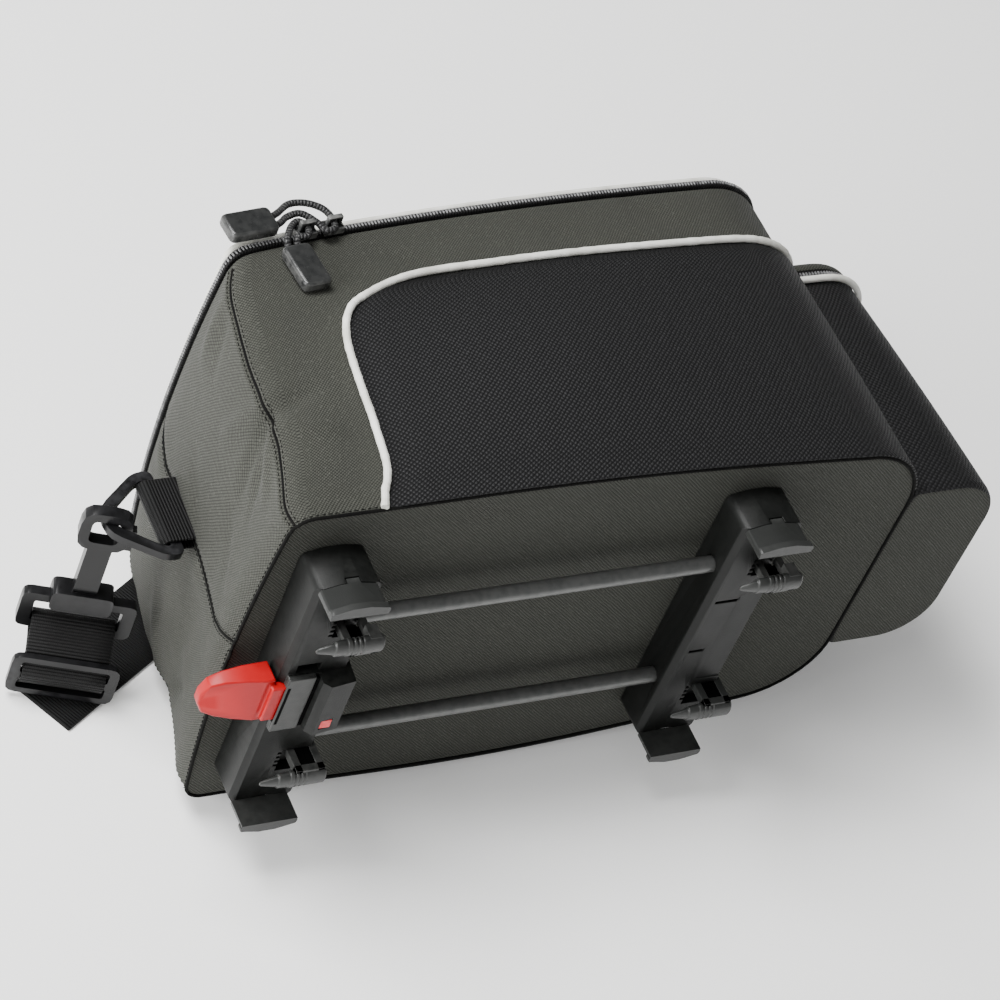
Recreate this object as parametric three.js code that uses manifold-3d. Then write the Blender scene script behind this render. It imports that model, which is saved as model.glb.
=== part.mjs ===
// Bicycle trunk bag with its rack adapter and shoulder strap, lying on its far side.
// Millimetres. In the bag's own group x runs to the rear, y to the bag's top and z to the near side;
// the group is then moved so that the origin lies under the middle of the patch that the bag rests on.

import * as THREE from 'three';
import { mergeVertices } from 'three/addons/utils/BufferGeometryUtils.js';
import Module from 'manifold-3d';

const wasm = await Module();
wasm.setup();

// Bag body
const bagFront = -26;          // foremost line of the front wall, from the front bar's middle
const bagRear = 300;           // rear wall at the bottom
const bagHalfWidth = 97;
const frontLean = 29;          // how far the front wall's top lies behind its foot
const rearLean = 4;
const frontBow = 5;            // the front wall's outward bow at mid-width
const rearTaper = 9;           // loss of half-width at the rear corners
const taperStart = 50;
const frontCornerRadius = 10;
const rearCornerRadius = 38;
const zipHeightFront = 145;
const zipHeightRear = 168;
const bodyWall = 3;
const nearBulge = 6;
const farBulge = 15;
const farPress = 8.1;          // how far the far side is pressed flat by the floor
const bulgeCentre = bagFront + 0.503 * (bagRear - bagFront);
const bulgeReach = 0.43 * (bagRear - bagFront);
const bulgeLevel = 0.38;
const bulgeRise = 0.55;

// Lid, zip and piping
const zipWidth = 5;
const zipStandOut = 0.8;
const lidBand = 1.5;
const lidInset = 6;             // how far inside the walls' line the lid begins
const lidEdgeRadius = 6;
const lidCrown = 5;
const lidWall = 3;
const pipingRadius = 1.7;
const padThickness = 1.2;
const padGap = 0.9;            // between a pad and the wall that it lies on
const padTopLevel = 0.763;     // the pad's top edge as a share of the zip line's height
const clearance = 0.3;
const restDepth = bagHalfWidth + farBulge + padGap + padThickness - farPress;

// Rear pocket
const pocketDepth = 55;
const pocketLean = 11;
const pocketHalfWidth = 57;
const pocketCornerRadius = 27;
const pocketHeight = 132;
const pocketCoverRise = 9.5;
const pocketWall = 2.5;
const pocketBelly = 0.8;       // how far the pocket's walls swell at mid-height

// Zip pulls
const pullLength = 24;
const pullWidth = 14;
const pullThickness = 6;
const sliderBodyLength = 10;
const pullCordRadius = 1.6;

// Rack adapter
const barSpacing = 208;
const barWidth = 30;
const barDepth = 20.4;
const barHalfLength = 75;
const barEndCrown = 3;
const barEdge = 2.5;
const rodRadius = 3.8;
const rodDrop = 11;
const rodHalfSpacing = 40.5;
const rodSeat = 8;
const clawFront = -14.5;
const clawRear = 12.5;
const clawInner = 73;
const clawDepth = 14.3;
const clawLip = 1.4;
const jawInner = 41;
const jawThickness = 4;
const jawLegFront = 4;
const jawLegRear = 18;
const jawLegWidth = 3.4;
const jawDepth = 34;
const jawBarThickness = 6;
const jawBarDepth = 10;
const jawNose = 16;
const jawTravel = 8;
const pocketFloor = 15.5;       // depth to which the bar's openings for the jaws reach
const blockFront = 2;
const blockRear = 18;
const blockHalfLength = 17;
const blockDepth = 30;
const plateHalfLength = 18;
const windowSize = 6;

// Release lever
const leverReach = 49;
const leverWidth = 28;
const leverTipWidth = 18;
const leverThickness = 11;
const leverNeckWidth = 22;
const leverNeckThickness = 4.5;
const leverTail = 15;

// Strap hardware
const webbingWidth = 38;
const webbingThickness = 1.6;
const tabReach = 10;           // from the wall's foremost line to the ring's base bar
const tabHeight = 85;          // the front tab's middle over the bag's bottom
const ringReach = 30.5;
const ringBase = 48;
const ringShoulder = 6.5;      // the ring's sides run straight this far before they slant to its point
const ringWire = 5;
const ringThickness = 4;
const hookLength = 66;
const hookThickness = 6;
const hookEyeWidth = 23;
const hookEyeHeight = 24;
const hookEyeWall = 5;
const hookStemWidth = 11;
const hookBarRise = 4;         // the loop's top bar over the hook's foot
const yokeWidth = 28;
const yokeHeight = 12;
const loopInner = 40;
const loopWire = 5;
const loopHeight = 23;
const sliderHeight = 25;
const sliderWidth = 49;
const sliderBar = 3.5;
const sliderThickness = 3;
const rearTabHeight = pocketHeight + zipWidth + pocketCoverRise + yokeWidth / 2 + 4 * clearance;
const hangTurn = -20.6;        // degrees from the x axis to the hanging strap's width
const restX = bagFront + 0.402 * (bagRear - bagFront);
const restY = bulgeLevel * (zipHeightFront + zipHeightRear) / 2;

const colours = {
  fabric: { color: 0x34342f, roughness: 0.92, metalness: 0 },
  pad: { color: 0x17181a, roughness: 0.8, metalness: 0 },
  piping: { color: 0xe9e7e0, roughness: 0.5, metalness: 0 },
  zip: { color: 0x101012, roughness: 0.5, metalness: 0 },
  plastic: { color: 0x1d1e20, roughness: 0.55, metalness: 0 },
  rod: { color: 0x2a2b2d, roughness: 0.35, metalness: 0.6 },
  lever: { color: 0xd8303a, roughness: 0.45, metalness: 0 },
  webbing: { color: 0x121214, roughness: 0.9, metalness: 0 },
};

const { clamp, lerp, degToRad } = THREE.MathUtils;
const V3 = (x, y, z) => new THREE.Vector3(x, y, z);
const V2 = (x, y) => new THREE.Vector2(x, y);

// Closed solids from rings of points

function outward(geometry) {
  const g = geometry.index ? geometry : mergeVertices(stripped(geometry), 1e-4);
  const p = g.attributes.position;
  const index = g.index.array;
  const [a, b, c] = [V3(), V3(), V3()];
  let volume = 0;
  for (let i = 0; i < index.length; i += 3) {
    a.fromBufferAttribute(p, index[i]);
    b.fromBufferAttribute(p, index[i + 1]);
    c.fromBufferAttribute(p, index[i + 2]);
    volume += a.dot(b.cross(c));
  }
  if (volume < 0) {
    for (let i = 0; i < index.length; i += 3) [index[i], index[i + 1]] = [index[i + 1], index[i]];
  }
  return g;
}

function stripped(geometry) {
  for (const name of ['normal', 'uv']) geometry.deleteAttribute(name);
  return geometry;
}

function loft(rings, closed = false) {
  const count = rings[0].length;
  const positions = rings.flat().flatMap((p) => [p.x, p.y, p.z]);
  const index = [];
  const steps = closed ? rings.length : rings.length - 1;
  for (let r = 0; r < steps; r++) {
    const next = (r + 1) % rings.length;
    for (let i = 0; i < count; i++) {
      const j = (i + 1) % count;
      const [a, b] = [r * count + i, r * count + j];
      const [c, d] = [next * count + i, next * count + j];
      index.push(a, b, d, a, d, c);
    }
  }
  if (!closed) {
    const caps = [[rings[0], 0, -1], [rings.at(-1), (rings.length - 1) * count, 1]];
    for (const [ring, start, side] of caps) {
      const middle = ring.reduce((sum, p) => sum.add(p), V3(0, 0, 0)).divideScalar(count);
      const centre = positions.length / 3;
      positions.push(middle.x, middle.y, middle.z);
      for (let i = 0; i < count; i++) {
        const j = (i + 1) % count;
        const pair = side > 0 ? [start + i, start + j] : [start + j, start + i];
        index.push(...pair, centre);
      }
    }
  }
  const geometry = new THREE.BufferGeometry();
  geometry.setAttribute('position', new THREE.Float32BufferAttribute(positions, 3));
  geometry.setIndex(index);
  return outward(mergeVertices(geometry, 1e-4));
}

// Booleans

function solid(geometry) {
  const g = outward(mergeVertices(stripped(geometry.clone()), 1e-4));
  const triangles = new Uint32Array(g.index.array);
  return new wasm.Manifold(new wasm.Mesh({
    numProp: 3, vertProperties: new Float32Array(g.attributes.position.array), triVerts: triangles,
  }));
}

function meshed(manifold) {
  const mesh = manifold.getMesh();
  const geometry = new THREE.BufferGeometry();
  geometry.setAttribute('position', new THREE.Float32BufferAttribute(mesh.vertProperties, 3));
  geometry.setIndex([...mesh.triVerts]);
  return geometry;
}

const joined = (parts) => parts.map(solid).reduce((whole, part) => whole.add(part));
const cut = (geometry, cutters) => meshed(cutters.map(solid).reduce((s, c) => s.subtract(c), solid(geometry)));
const fused = (...parts) => meshed(joined(parts));

function box(x0, x1, y0, y1, z0, z1) {
  const g = new THREE.BoxGeometry(x1 - x0, y1 - y0, z1 - z0);
  return g.translate((x0 + x1) / 2, (y0 + y1) / 2, (z0 + z1) / 2);
}

function extruded(shape, depth, steps = {}) {
  return new THREE.ExtrudeGeometry(shape, { depth, bevelEnabled: false, curveSegments: 3, ...steps });
}

function roundedShape(points, radius) {
  const shape = new THREE.Shape();
  points.forEach((corner, i) => {
    const before = points.at(i - 1);
    const after = points[(i + 1) % points.length];
    const r = Array.isArray(radius) ? radius[i] : radius;
    const from = corner.clone().add(before.clone().sub(corner).setLength(r));
    const to = corner.clone().add(after.clone().sub(corner).setLength(r));
    if (i === 0) shape.moveTo(from.x, from.y);
    else shape.lineTo(from.x, from.y);
    if (r > 0) shape.quadraticCurveTo(corner.x, corner.y, to.x, to.y);
  });
  shape.closePath();
  return shape;
}

function rectangle(width, height, radius, cx = 0, cy = 0) {
  const [w, h] = [width / 2, height / 2];
  return roundedShape([V2(cx - w, cy - h), V2(cx + w, cy - h), V2(cx + w, cy + h), V2(cx - w, cy + h)], radius);
}

function tube(points, radius, sides, steps) {
  const section = new THREE.Shape();
  for (let i = 0; i < sides; i++) {
    const turn = (2 * Math.PI * i) / sides;
    const put = i === 0 ? 'moveTo' : 'lineTo';
    section[put](radius * Math.cos(turn), radius * Math.sin(turn));
  }
  section.closePath();
  return extruded(section, 1, { steps, extrudePath: new THREE.CatmullRomCurve3(points) });
}

// The bag's outline. A place on a wall is a stretch, a share along it, a level and a distance out from it.

const frontProfile = [
  { level: 0, lean: 0.07 }, { level: 0.07, lean: 0 }, { level: 0.16, lean: 0.17 },
  { level: 0.31, lean: 0.38 }, { level: 0.46, lean: 0.43 }, { level: 0.6, lean: 0.46 },
  { level: 0.75, lean: 0.58 }, { level: 0.87, lean: 0.68 }, { level: 0.94, lean: 0.8 },
  { level: 1, lean: 1 },
];

function leanAt(level) {
  const above = frontProfile.findIndex((row) => row.level >= level);
  if (above < 0) return 1;
  if (above === 0) return frontProfile[0].lean;
  const [a, b] = [frontProfile[above - 1], frontProfile[above]];
  return lerp(a.lean, b.lean, (level - a.level) / (b.level - a.level));
}

const frontAt = (level) => bagFront + frontLean * leanAt(level);
const rearAt = (level) => bagRear - rearLean * clamp(level, 0, 1);
const sideLength = bagRear - rearCornerRadius - taperStart;
const halfWidthAt = (x) => bagHalfWidth - rearTaper * clamp((x - taperStart) / sideLength, 0, 1) ** 2;

function zipHeightAt(x) {
  const share = clamp((x - frontAt(1)) / (bagRear - rearCornerRadius - frontAt(1)), 0, 1);
  return zipHeightFront + (zipHeightRear - zipHeightFront) * share ** 0.7;
}

function bulgeAt(x, level) {
  const along = 1 - ((x - bulgeCentre) / bulgeReach) ** 2;
  const up = 1 - ((level - bulgeLevel) / bulgeRise) ** 2;
  return clamp(along, 0, 1) ** 2 * clamp(up, 0, 1) ** 2;
}

const stretches = [
  { name: 'nearSide', points: 10 }, { name: 'rearNear', points: 5 }, { name: 'rear', points: 3 },
  { name: 'rearFar', points: 5 }, { name: 'farSide', points: 10 }, { name: 'frontFar', points: 3 },
  { name: 'front', points: 6 }, { name: 'frontNear', points: 3 },
];

function wallPoint(stretch, share, level, out = 0) {
  const front = frontAt(level) - out;
  const rear = rearAt(level) + out;
  const r = frontCornerRadius + out;
  const R = rearCornerRadius + out;
  const cornerHalf = halfWidthAt(rear - R) + out;
  const frontHalf = bagHalfWidth + out;
  const far = stretch.endsWith('Far') || stretch.startsWith('far');
  const side = far ? -1 : 1;
  let [x, z] = [0, 0];
  if (stretch.endsWith('Side')) {
    x = lerp(front + r, rear - R, far ? 1 - share : share);
    z = halfWidthAt(x) + out + (far ? farBulge : nearBulge) * bulgeAt(x, level);
  } else if (stretch.startsWith('rear') && stretch !== 'rear') {
    const turn = (far ? 1 - share : share) * Math.PI / 2;
    x = rear - R + R * Math.sin(turn);
    z = cornerHalf - R + R * Math.cos(turn);
  } else if (stretch === 'rear') {
    x = rear;
    z = lerp(cornerHalf - R, R - cornerHalf, share);
  } else if (stretch === 'front') {
    z = lerp(r - frontHalf, frontHalf - r, share);
    x = front - frontBow * (1 - (z / (frontHalf - r)) ** 2);
  } else {
    const turn = (far ? share : 1 - share) * Math.PI / 2;
    x = front + r - r * Math.sin(turn);
    z = frontHalf - r + r * Math.cos(turn);
  }
  z = Math.max(side * z, padThickness + padGap - out - restDepth);
  return V3(x, level * zipHeightAt(x), z);
}

function outlineRing(level, out = 0, rise = 0) {
  const ring = [];
  for (const { name, points } of stretches) {
    for (let i = 0; i < points; i++) ring.push(wallPoint(name, i / points, level, out));
  }
  for (const p of ring) p.y += rise;
  return ring;
}

function drawnIn(ring, share, rise) {
  const middle = ring.reduce((sum, p) => sum.add(p), V3(0, 0, 0)).divideScalar(ring.length);
  return ring.map((p) => V3(lerp(p.x, middle.x, share), p.y + rise, lerp(p.z, middle.z, share)));
}

// Bag body, zip, lid and piping

function bagBody() {
  const outer = frontProfile.map(({ level }) => outlineRing(level));
  const inner = [1, 0.6, 0.31, 0].map((level) => outlineRing(level, -bodyWall, level === 0 ? bodyWall : 0));
  return loft([...outer, ...inner]);
}

function zipRing() {
  const low = 2 * clearance;
  const high = low + zipWidth;
  return loft([
    outlineRing(1, zipStandOut, low), outlineRing(1, zipStandOut, low + 0.6 * zipWidth),
    outlineRing(1, -0.2 * lidInset, high), outlineRing(1, -lidInset - lidWall, high),
    outlineRing(1, -bodyWall, low),
  ], true);
}

function lid() {
  const foot = zipWidth + 4 * clearance;
  const shoulder = foot + lidBand;
  const top = shoulder + lidEdgeRadius;
  const ring = (out, rise) => outlineRing(1, out - lidInset, rise);
  const brow = ring(-lidEdgeRadius, top);
  const outer = [
    drawnIn(brow, 0.8, lidCrown), drawnIn(brow, 0.4, 0.65 * lidCrown), brow,
    ring(-0.3 * lidEdgeRadius, shoulder + 0.7 * lidEdgeRadius), ring(0, shoulder), ring(0, foot),
  ];
  const under = ring(-lidEdgeRadius, top - lidWall);
  const inner = [ring(-lidWall, foot), ring(-lidWall, shoulder), under,
    drawnIn(under, 0.4, 0.65 * lidCrown), drawnIn(under, 0.8, lidCrown)];
  return loft([...outer, ...inner]);
}

function ringAlong(points, radius, sides) {
  const middle = points.reduce((sum, p) => sum.clone().add(p), V3(0, 0, 0)).divideScalar(points.length);
  return loft(points.map((p) => {
    const away = V3(p.x - middle.x, 0, p.z - middle.z).normalize();
    return Array.from({ length: sides }, (_, i) => {
      const turn = (2 * Math.PI * i) / sides;
      return p.clone().addScaledVector(away, radius * Math.cos(turn)).add(V3(0, radius * Math.sin(turn), 0));
    });
  }), true);
}

function lidPiping() {
  const height = zipWidth + 5 * clearance + pipingRadius;
  return ringAlong(outlineRing(1, pipingRadius + clearance - lidInset, height), pipingRadius, 5);
}

// The pad's front edge, as shares of padCorner behind the foot of the side's piping
const padEdge = [
  { level: 0.02, back: 0 }, { level: 0.12, back: 0.14 }, { level: 0.3, back: 0.21 },
  { level: 0.46, back: 0.25 }, { level: 0.6, back: 0.31 }, { level: 0.69, back: 0.42 },
  { level: 0.74, back: 0.6 }, { level: padTopLevel, back: 1 },
];
const padFront = 21;
const padCorner = 58;

const sideShare = (x, level) => {
  const start = frontAt(level) + frontCornerRadius;
  return (x - start) / (rearAt(level) - rearCornerRadius - start);
};

// How far round the rear corner a pad reaches before it meets the pocket's side
function padEndShare(gap) {
  const centre = bagHalfWidth - rearTaper - rearCornerRadius;
  const reach = pocketHalfWidth + pocketBelly + gap - centre;
  return Math.acos(clamp(reach / rearCornerRadius, 0, 1)) / (Math.PI / 2);
}

function padRow({ level, back }, side, out, endGap = 3 * clearance) {
  const start = sideShare(padFront + padCorner * back, level);
  const row = [];
  const name = (part) => (side > 0 ? part + 'Near' : part + 'Far');
  const share = (s) => (side > 0 ? s : 1 - s);
  const flank = side > 0 ? 'nearSide' : 'farSide';
  for (let i = 0; i <= 10; i++) row.push(wallPoint(flank, share(lerp(start, 1, i / 10)), level, out));
  const end = padEndShare(endGap);
  for (let i = 1; i <= 5; i++) row.push(wallPoint(name('rear'), share(end * i / 5), level, out));
  return row;
}

// A thin closed sheet from its two faces, each a grid of points
function sheet(inner, outer) {
  const [rows, columns] = [inner.length, inner[0].length];
  const positions = [...inner, ...outer].flat().flatMap((p) => [p.x, p.y, p.z]);
  const at = (face, r, c) => (face * rows + r) * columns + c;
  const index = [];
  const quad = (a, b, c, d) => index.push(a, b, c, a, c, d);
  for (let r = 0; r < rows - 1; r++) {
    for (let c = 0; c < columns - 1; c++) {
      quad(at(0, r, c), at(0, r, c + 1), at(0, r + 1, c + 1), at(0, r + 1, c));
      quad(at(1, r, c), at(1, r + 1, c), at(1, r + 1, c + 1), at(1, r, c + 1));
    }
    const end = columns - 1;
    quad(at(0, r, end), at(1, r, end), at(1, r + 1, end), at(0, r + 1, end));
    quad(at(0, r, 0), at(0, r + 1, 0), at(1, r + 1, 0), at(1, r, 0));
  }
  for (let c = 0; c < columns - 1; c++) {
    quad(at(0, 0, c), at(1, 0, c), at(1, 0, c + 1), at(0, 0, c + 1));
    quad(at(0, rows - 1, c), at(0, rows - 1, c + 1), at(1, rows - 1, c + 1), at(1, rows - 1, c));
  }
  const geometry = new THREE.BufferGeometry();
  geometry.setAttribute('position', new THREE.Float32BufferAttribute(positions, 3));
  geometry.setIndex(index);
  return outward(geometry);
}

function pad(side) {
  const face = (out) => padEdge.map((row) => padRow(row, side, out));
  return sheet(face(padGap), face(padGap + padThickness));
}

function sidePiping(side) {
  const out = pipingRadius + 2 * clearance;
  const margin = pipingRadius + 8 * clearance;
  const endGap = pipingRadius + 3 * clearance;
  const shifted = (row) => ({ level: row.level, back: row.back - margin / padCorner });
  const up = padEdge.slice(0, -1).map((row) => padRow(shifted(row), side, out, endGap)[0]);
  const topLevel = padTopLevel + margin / zipHeightRear;
  const along = padRow({ level: topLevel, back: 1 }, side, out, endGap);
  return tube([...up, ...along], pipingRadius, 6, 34);
}

// Rear pocket

function pocketRing(height, out = 0, foot = pocketHeight) {
  const level = clamp(height / zipHeightRear, 0, 1);
  const back = rearAt(level) + clearance - Math.min(out, 0);
  const outerX = bagRear + pocketDepth - pocketLean * clamp(height / foot, 0, 1) + out;
  const half = pocketHalfWidth + out;
  const r = pocketCornerRadius + out;
  const ring = [V3(back, height, half), V3(lerp(back, outerX - r, 0.5), height, half)];
  for (let i = 0; i <= 5; i++) {
    const turn = (i / 5) * Math.PI / 2;
    ring.push(V3(outerX - r + r * Math.sin(turn), height, half - r + r * Math.cos(turn)));
  }
  const mirrored = ring.toReversed().map((p) => V3(p.x, p.y, -p.z));
  return [...ring, V3(outerX, height, 0), ...mirrored];
}

function pocketBody() {
  const levels = [0, 0.06, 0.35, 0.7, 1].map((share) => share * pocketHeight);
  const outs = [-1.5, 0, pocketBelly, 0.75 * pocketBelly, 0];
  const outer = levels.map((height, i) => pocketRing(height, outs[i]));
  const inner = [levels[4], levels[2], pocketWall].map((height) => pocketRing(height, -pocketWall));
  return loft([...outer, ...inner]);
}

function pocketZip() {
  const [low, high] = [pocketHeight + clearance, pocketHeight + clearance + zipWidth];
  return loft([
    pocketRing(low), pocketRing(high), pocketRing(high, -pocketWall), pocketRing(low, -pocketWall),
  ], true);
}

function pocketCover() {
  const foot = pocketHeight + zipWidth + 2 * clearance;
  const outer = [{ rise: 1, out: -12 }, { rise: 0.8, out: -5 }, { rise: 0.45, out: -1 }, { rise: 0, out: 0 }];
  const inner = [{ rise: 0, out: -pocketWall }, { rise: 0.55, out: -pocketWall - 3 }, { rise: 0.78, out: -13 }];
  return loft([...outer, ...inner].map(({ rise, out }) => pocketRing(foot + rise * pocketCoverRise, out)));
}

function pocketPiping() {
  const out = pipingRadius + clearance;
  const points = pocketRing(pocketHeight - pipingRadius, out);
  points[0].x += out + pipingRadius;
  points.at(-1).x += out + pipingRadius;
  return tube(points, pipingRadius, 6, 26);
}

// Rack adapter. A bar's outline lies in x and z and is extruded towards -y.

function endCrown(x0, x1, z, crown, radius) {
  const shape = new THREE.Shape();
  shape.moveTo(x0, -z + radius);
  shape.quadraticCurveTo(x0, -z, x0 + radius, -z - 0.3 * crown);
  shape.quadraticCurveTo((x0 + x1) / 2, -z - 1.7 * crown, x1 - radius, -z - 0.3 * crown);
  shape.quadraticCurveTo(x1, -z, x1, -z + radius);
  return shape;
}

function barOutline() {
  const [x0, x1] = [-barWidth / 2, barWidth / 2];
  const shape = endCrown(x0, x1, barHalfLength, barEndCrown, 3);
  shape.lineTo(x1, barHalfLength - 3);
  shape.quadraticCurveTo(x1, barHalfLength, x1 - 3, barHalfLength + 0.3 * barEndCrown);
  shape.quadraticCurveTo(0, barHalfLength + 1.7 * barEndCrown, x0 + 3, barHalfLength + 0.3 * barEndCrown);
  shape.quadraticCurveTo(x0, barHalfLength, x0, barHalfLength - 3);
  shape.closePath();
  return shape;
}

const towardsFace = (geometry) => geometry.rotateX(Math.PI / 2);

function barBlank() {
  const slab = towardsFace(extruded(barOutline(), barDepth - clearance));
  slab.translate(0, -clearance, 0);
  const length = 2 * (barHalfLength + 2 * barEndCrown);
  const wedge = new THREE.Shape([V2(-barWidth, -barDepth + barEdge), V2(-barWidth / 2, -barDepth + barEdge),
    V2(-barWidth / 2 + barEdge, -barDepth), V2(-barWidth / 2 + barEdge, -barDepth - 5),
    V2(-barWidth, -barDepth - 5)]);
  const bevel = extruded(wedge, length).translate(0, 0, -length / 2);
  return cut(slab, [bevel]);
}

// The opening in the bar's face that a jaw's legs stand in, with teeth along its front edge
function jawOpening(side) {
  const low = jawInner - 1;
  const high = jawInner + jawThickness + jawTravel + 2;
  const teeth = [];
  for (let z = low + 1; z < high - 2; z += 3) {
    teeth.push(box(jawLegFront - 4.5, jawLegFront - 2, -barDepth - 1, -pocketFloor, z, z + 1.5));
  }
  const hole = box(jawLegFront - 2.5, barWidth / 2 + 1, -barDepth - 1, -pocketFloor, low, high);
  const all = meshed(joined([hole, ...teeth]));
  return side > 0 ? all : outward(all.scale(1, 1, -1));
}

function rodHoles(side) {
  return [-1, 1].map((z) => {
    const hole = new THREE.CylinderGeometry(rodRadius + clearance, rodRadius + clearance, 2 * rodSeat, 12);
    return hole.rotateZ(Math.PI / 2).translate(side * barWidth / 2, -rodDrop, z * rodHalfSpacing);
  });
}

const snapNotch = (side) => {
  const z = side * (barHalfLength + 0.7 * barEndCrown);
  return box(-2.5, 4.5, -barDepth - 1, -barDepth + 3, z - 1, z + 4);
};

function frontBar() {
  const plate = box(-barWidth / 2 + barEdge, blockFront + 1, -barDepth - 1.5, -barDepth + 1,
    -plateHalfLength - 1, plateHalfLength);
  const profile = new THREE.Shape([V2(blockFront, -barDepth + 1), V2(blockFront, -blockDepth + 3),
    V2(blockFront + 3, -blockDepth), V2(blockRear - 1, -blockDepth + 1.5), V2(blockRear, -barDepth + 3),
    V2(barWidth / 2 - 0.5, -barDepth + 1)]);
  const block = extruded(profile, 2 * blockHalfLength).translate(0, 0, -blockHalfLength);
  const whole = fused(barBlank(), plate, block);
  const gap = 2 * clearance;
  const channel = box(-barWidth, leverTail + 2, -barDepth + 2 - leverNeckThickness - gap, -barDepth + 2 + gap,
    -leverNeckWidth / 2 - gap, leverNeckWidth / 2 + gap);
  const sight = box(blockFront + 5, blockFront + 5 + windowSize, -blockDepth - 1, -barDepth,
    -blockHalfLength + 3, -blockHalfLength + 3 + windowSize);
  const recess = box(-9, blockFront, -barDepth - 4, -barDepth + 4, plateHalfLength, plateHalfLength + 5);
  return cut(whole, [channel, sight, recess, ...rodHoles(1), jawOpening(1), jawOpening(-1),
    snapNotch(1), snapNotch(-1)]);
}

function rearBar() {
  const slots = [{ z: 22, length: 13 }, { z: -14, length: 8 }].map(({ z, length }) =>
    box(-10, -10 + length, -barDepth - 1, -barDepth + 2, z, z + 1.6));
  const land = box(2, barWidth / 2 + 1, -barDepth - 1, -barDepth + 0.7, -36, 30);
  return cut(barBlank(), [land, ...slots, ...rodHoles(-1), jawOpening(1), jawOpening(-1),
    snapNotch(1), snapNotch(-1)]);
}

function rod() {
  const length = barSpacing - barWidth + 2 * (rodSeat - clearance);
  return new THREE.CylinderGeometry(rodRadius, rodRadius, length, 14).rotateZ(Math.PI / 2);
}

function claw(side) {
  const outline = new THREE.Shape();
  outline.moveTo(clawFront, clawInner);
  outline.lineTo(clawRear, clawInner);
  outline.lineTo(clawRear, barHalfLength - 1);
  outline.quadraticCurveTo(clawRear, barHalfLength + 1, clawRear - 2, barHalfLength + 0.3 * barEndCrown);
  outline.quadraticCurveTo((clawFront + clawRear) / 2, barHalfLength + 1.7 * barEndCrown,
    clawFront + 2, barHalfLength + 0.3 * barEndCrown);
  outline.quadraticCurveTo(clawFront, barHalfLength + 1, clawFront, barHalfLength - 1);
  outline.closePath();
  const plate = towardsFace(extruded(outline, clawDepth)).translate(0, -barDepth - clearance, 0);
  const lip = towardsFace(extruded(outline, 3)).scale(1.02, 1, 1);
  lip.translate(0, -barDepth - clearance - clawDepth + 3, clawLip);
  const snap = box(-2, 4, -barDepth - 0.6, -barDepth + 2.4, barHalfLength + 0.7 * barEndCrown - 0.4,
    barHalfLength + 0.7 * barEndCrown + 0.5);
  const whole = fused(plate, lip, snap);
  return side > 0 ? whole : outward(whole.scale(1, 1, -1));
}

function jaw(side) {
  const legs = [jawLegFront, jawLegRear - jawLegWidth].map((x) =>
    box(x, x + jawLegWidth, -jawDepth + 2, -pocketFloor - clearance, jawInner, jawInner + jawThickness));
  const nose = new THREE.Shape([V2(jawLegFront - jawNose, -jawDepth + 1), V2(jawLegFront - jawNose + 2, -jawDepth),
    V2(jawLegRear + 1, -jawDepth), V2(jawLegRear + 1, -jawDepth + jawBarThickness),
    V2(jawLegFront - 4, -jawDepth + jawBarThickness), V2(jawLegFront - jawNose + 4, -jawDepth + 3.5)]);
  const bar = extruded(nose, jawBarDepth).translate(0, 0, jawInner + 1);
  const knuckle = new THREE.CylinderGeometry(2.6, 2.6, 7, 10).rotateX(Math.PI / 2);
  knuckle.translate(jawLegFront + 1, -jawDepth + jawBarThickness, jawInner + jawBarDepth - 2.5);
  const peg = box(jawLegRear - 6, jawLegRear - 0.5, -jawDepth + 2, -jawDepth + jawBarThickness + 3.5,
    jawInner + jawBarDepth - 3.5, jawInner + jawBarDepth + 1.5);
  const whole = fused(...legs, bar, knuckle, peg);
  return side > 0 ? whole : outward(whole.scale(1, 1, -1));
}

function releaseLever() {
  const [tip, root] = [-leverReach, -barWidth / 2 - 1.5];
  const [wide, narrow] = [leverWidth / 2, leverTipWidth / 2];
  const outline = new THREE.Shape();
  outline.moveTo(root, -wide);
  outline.quadraticCurveTo(tip + 12, -wide, tip + 5, -narrow);
  outline.quadraticCurveTo(tip - 1, 0, tip + 5, narrow);
  outline.quadraticCurveTo(tip + 12, wide, root, wide);
  outline.closePath();
  const blade = towardsFace(extruded(outline, leverThickness + 8)).translate(0, -2, 0);
  const top = -barDepth + 0.5;
  const side = new THREE.Shape([V2(tip - 2, top + 8), V2(tip + 3, top + 5.5), V2(root - 4, top),
    V2(root + 2, top), V2(root + 2, top + leverThickness), V2(root - 10, top + leverThickness),
    V2(tip - 2, top + 10.5)]);
  const slice = extruded(side, 2 * leverWidth).translate(0, 0, -leverWidth);
  const tongue = meshed(solid(blade).intersect(solid(slice)));
  const neckTop = -barDepth + 2;
  const neck = box(root - 2, leverTail, neckTop - leverNeckThickness, neckTop,
    -leverNeckWidth / 2, leverNeckWidth / 2);
  return fused(tongue, neck);
}

// Strap hardware

// The webbing tab's line: two plies that fold round a ring's base bar, towards -x
function tabLine() {
  const mid = ringThickness / 2 + clearance + webbingThickness / 2;
  const nose = ringWire / 2 + 0.7;
  const half = [V2(tabReach + 12, mid), V2(0, mid), V2(-nose, mid), V2(-nose - 1.8, mid / 2)];
  return [...half, V2(-nose - 2.2, 0), ...half.toReversed().map((p) => V2(p.x, -p.y))];
}

// The whole bag body with a little air round it, for cutting what is sewn onto its walls
const wallSolid = () => loft(frontProfile.map(({ level }) => outlineRing(level, clearance)));

const frontTabX = bagFront + frontLean * leanAt(tabHeight / zipHeightFront) - frontBow - tabReach;
const rearTabX = bagRear - rearLean + tabReach;

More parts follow.
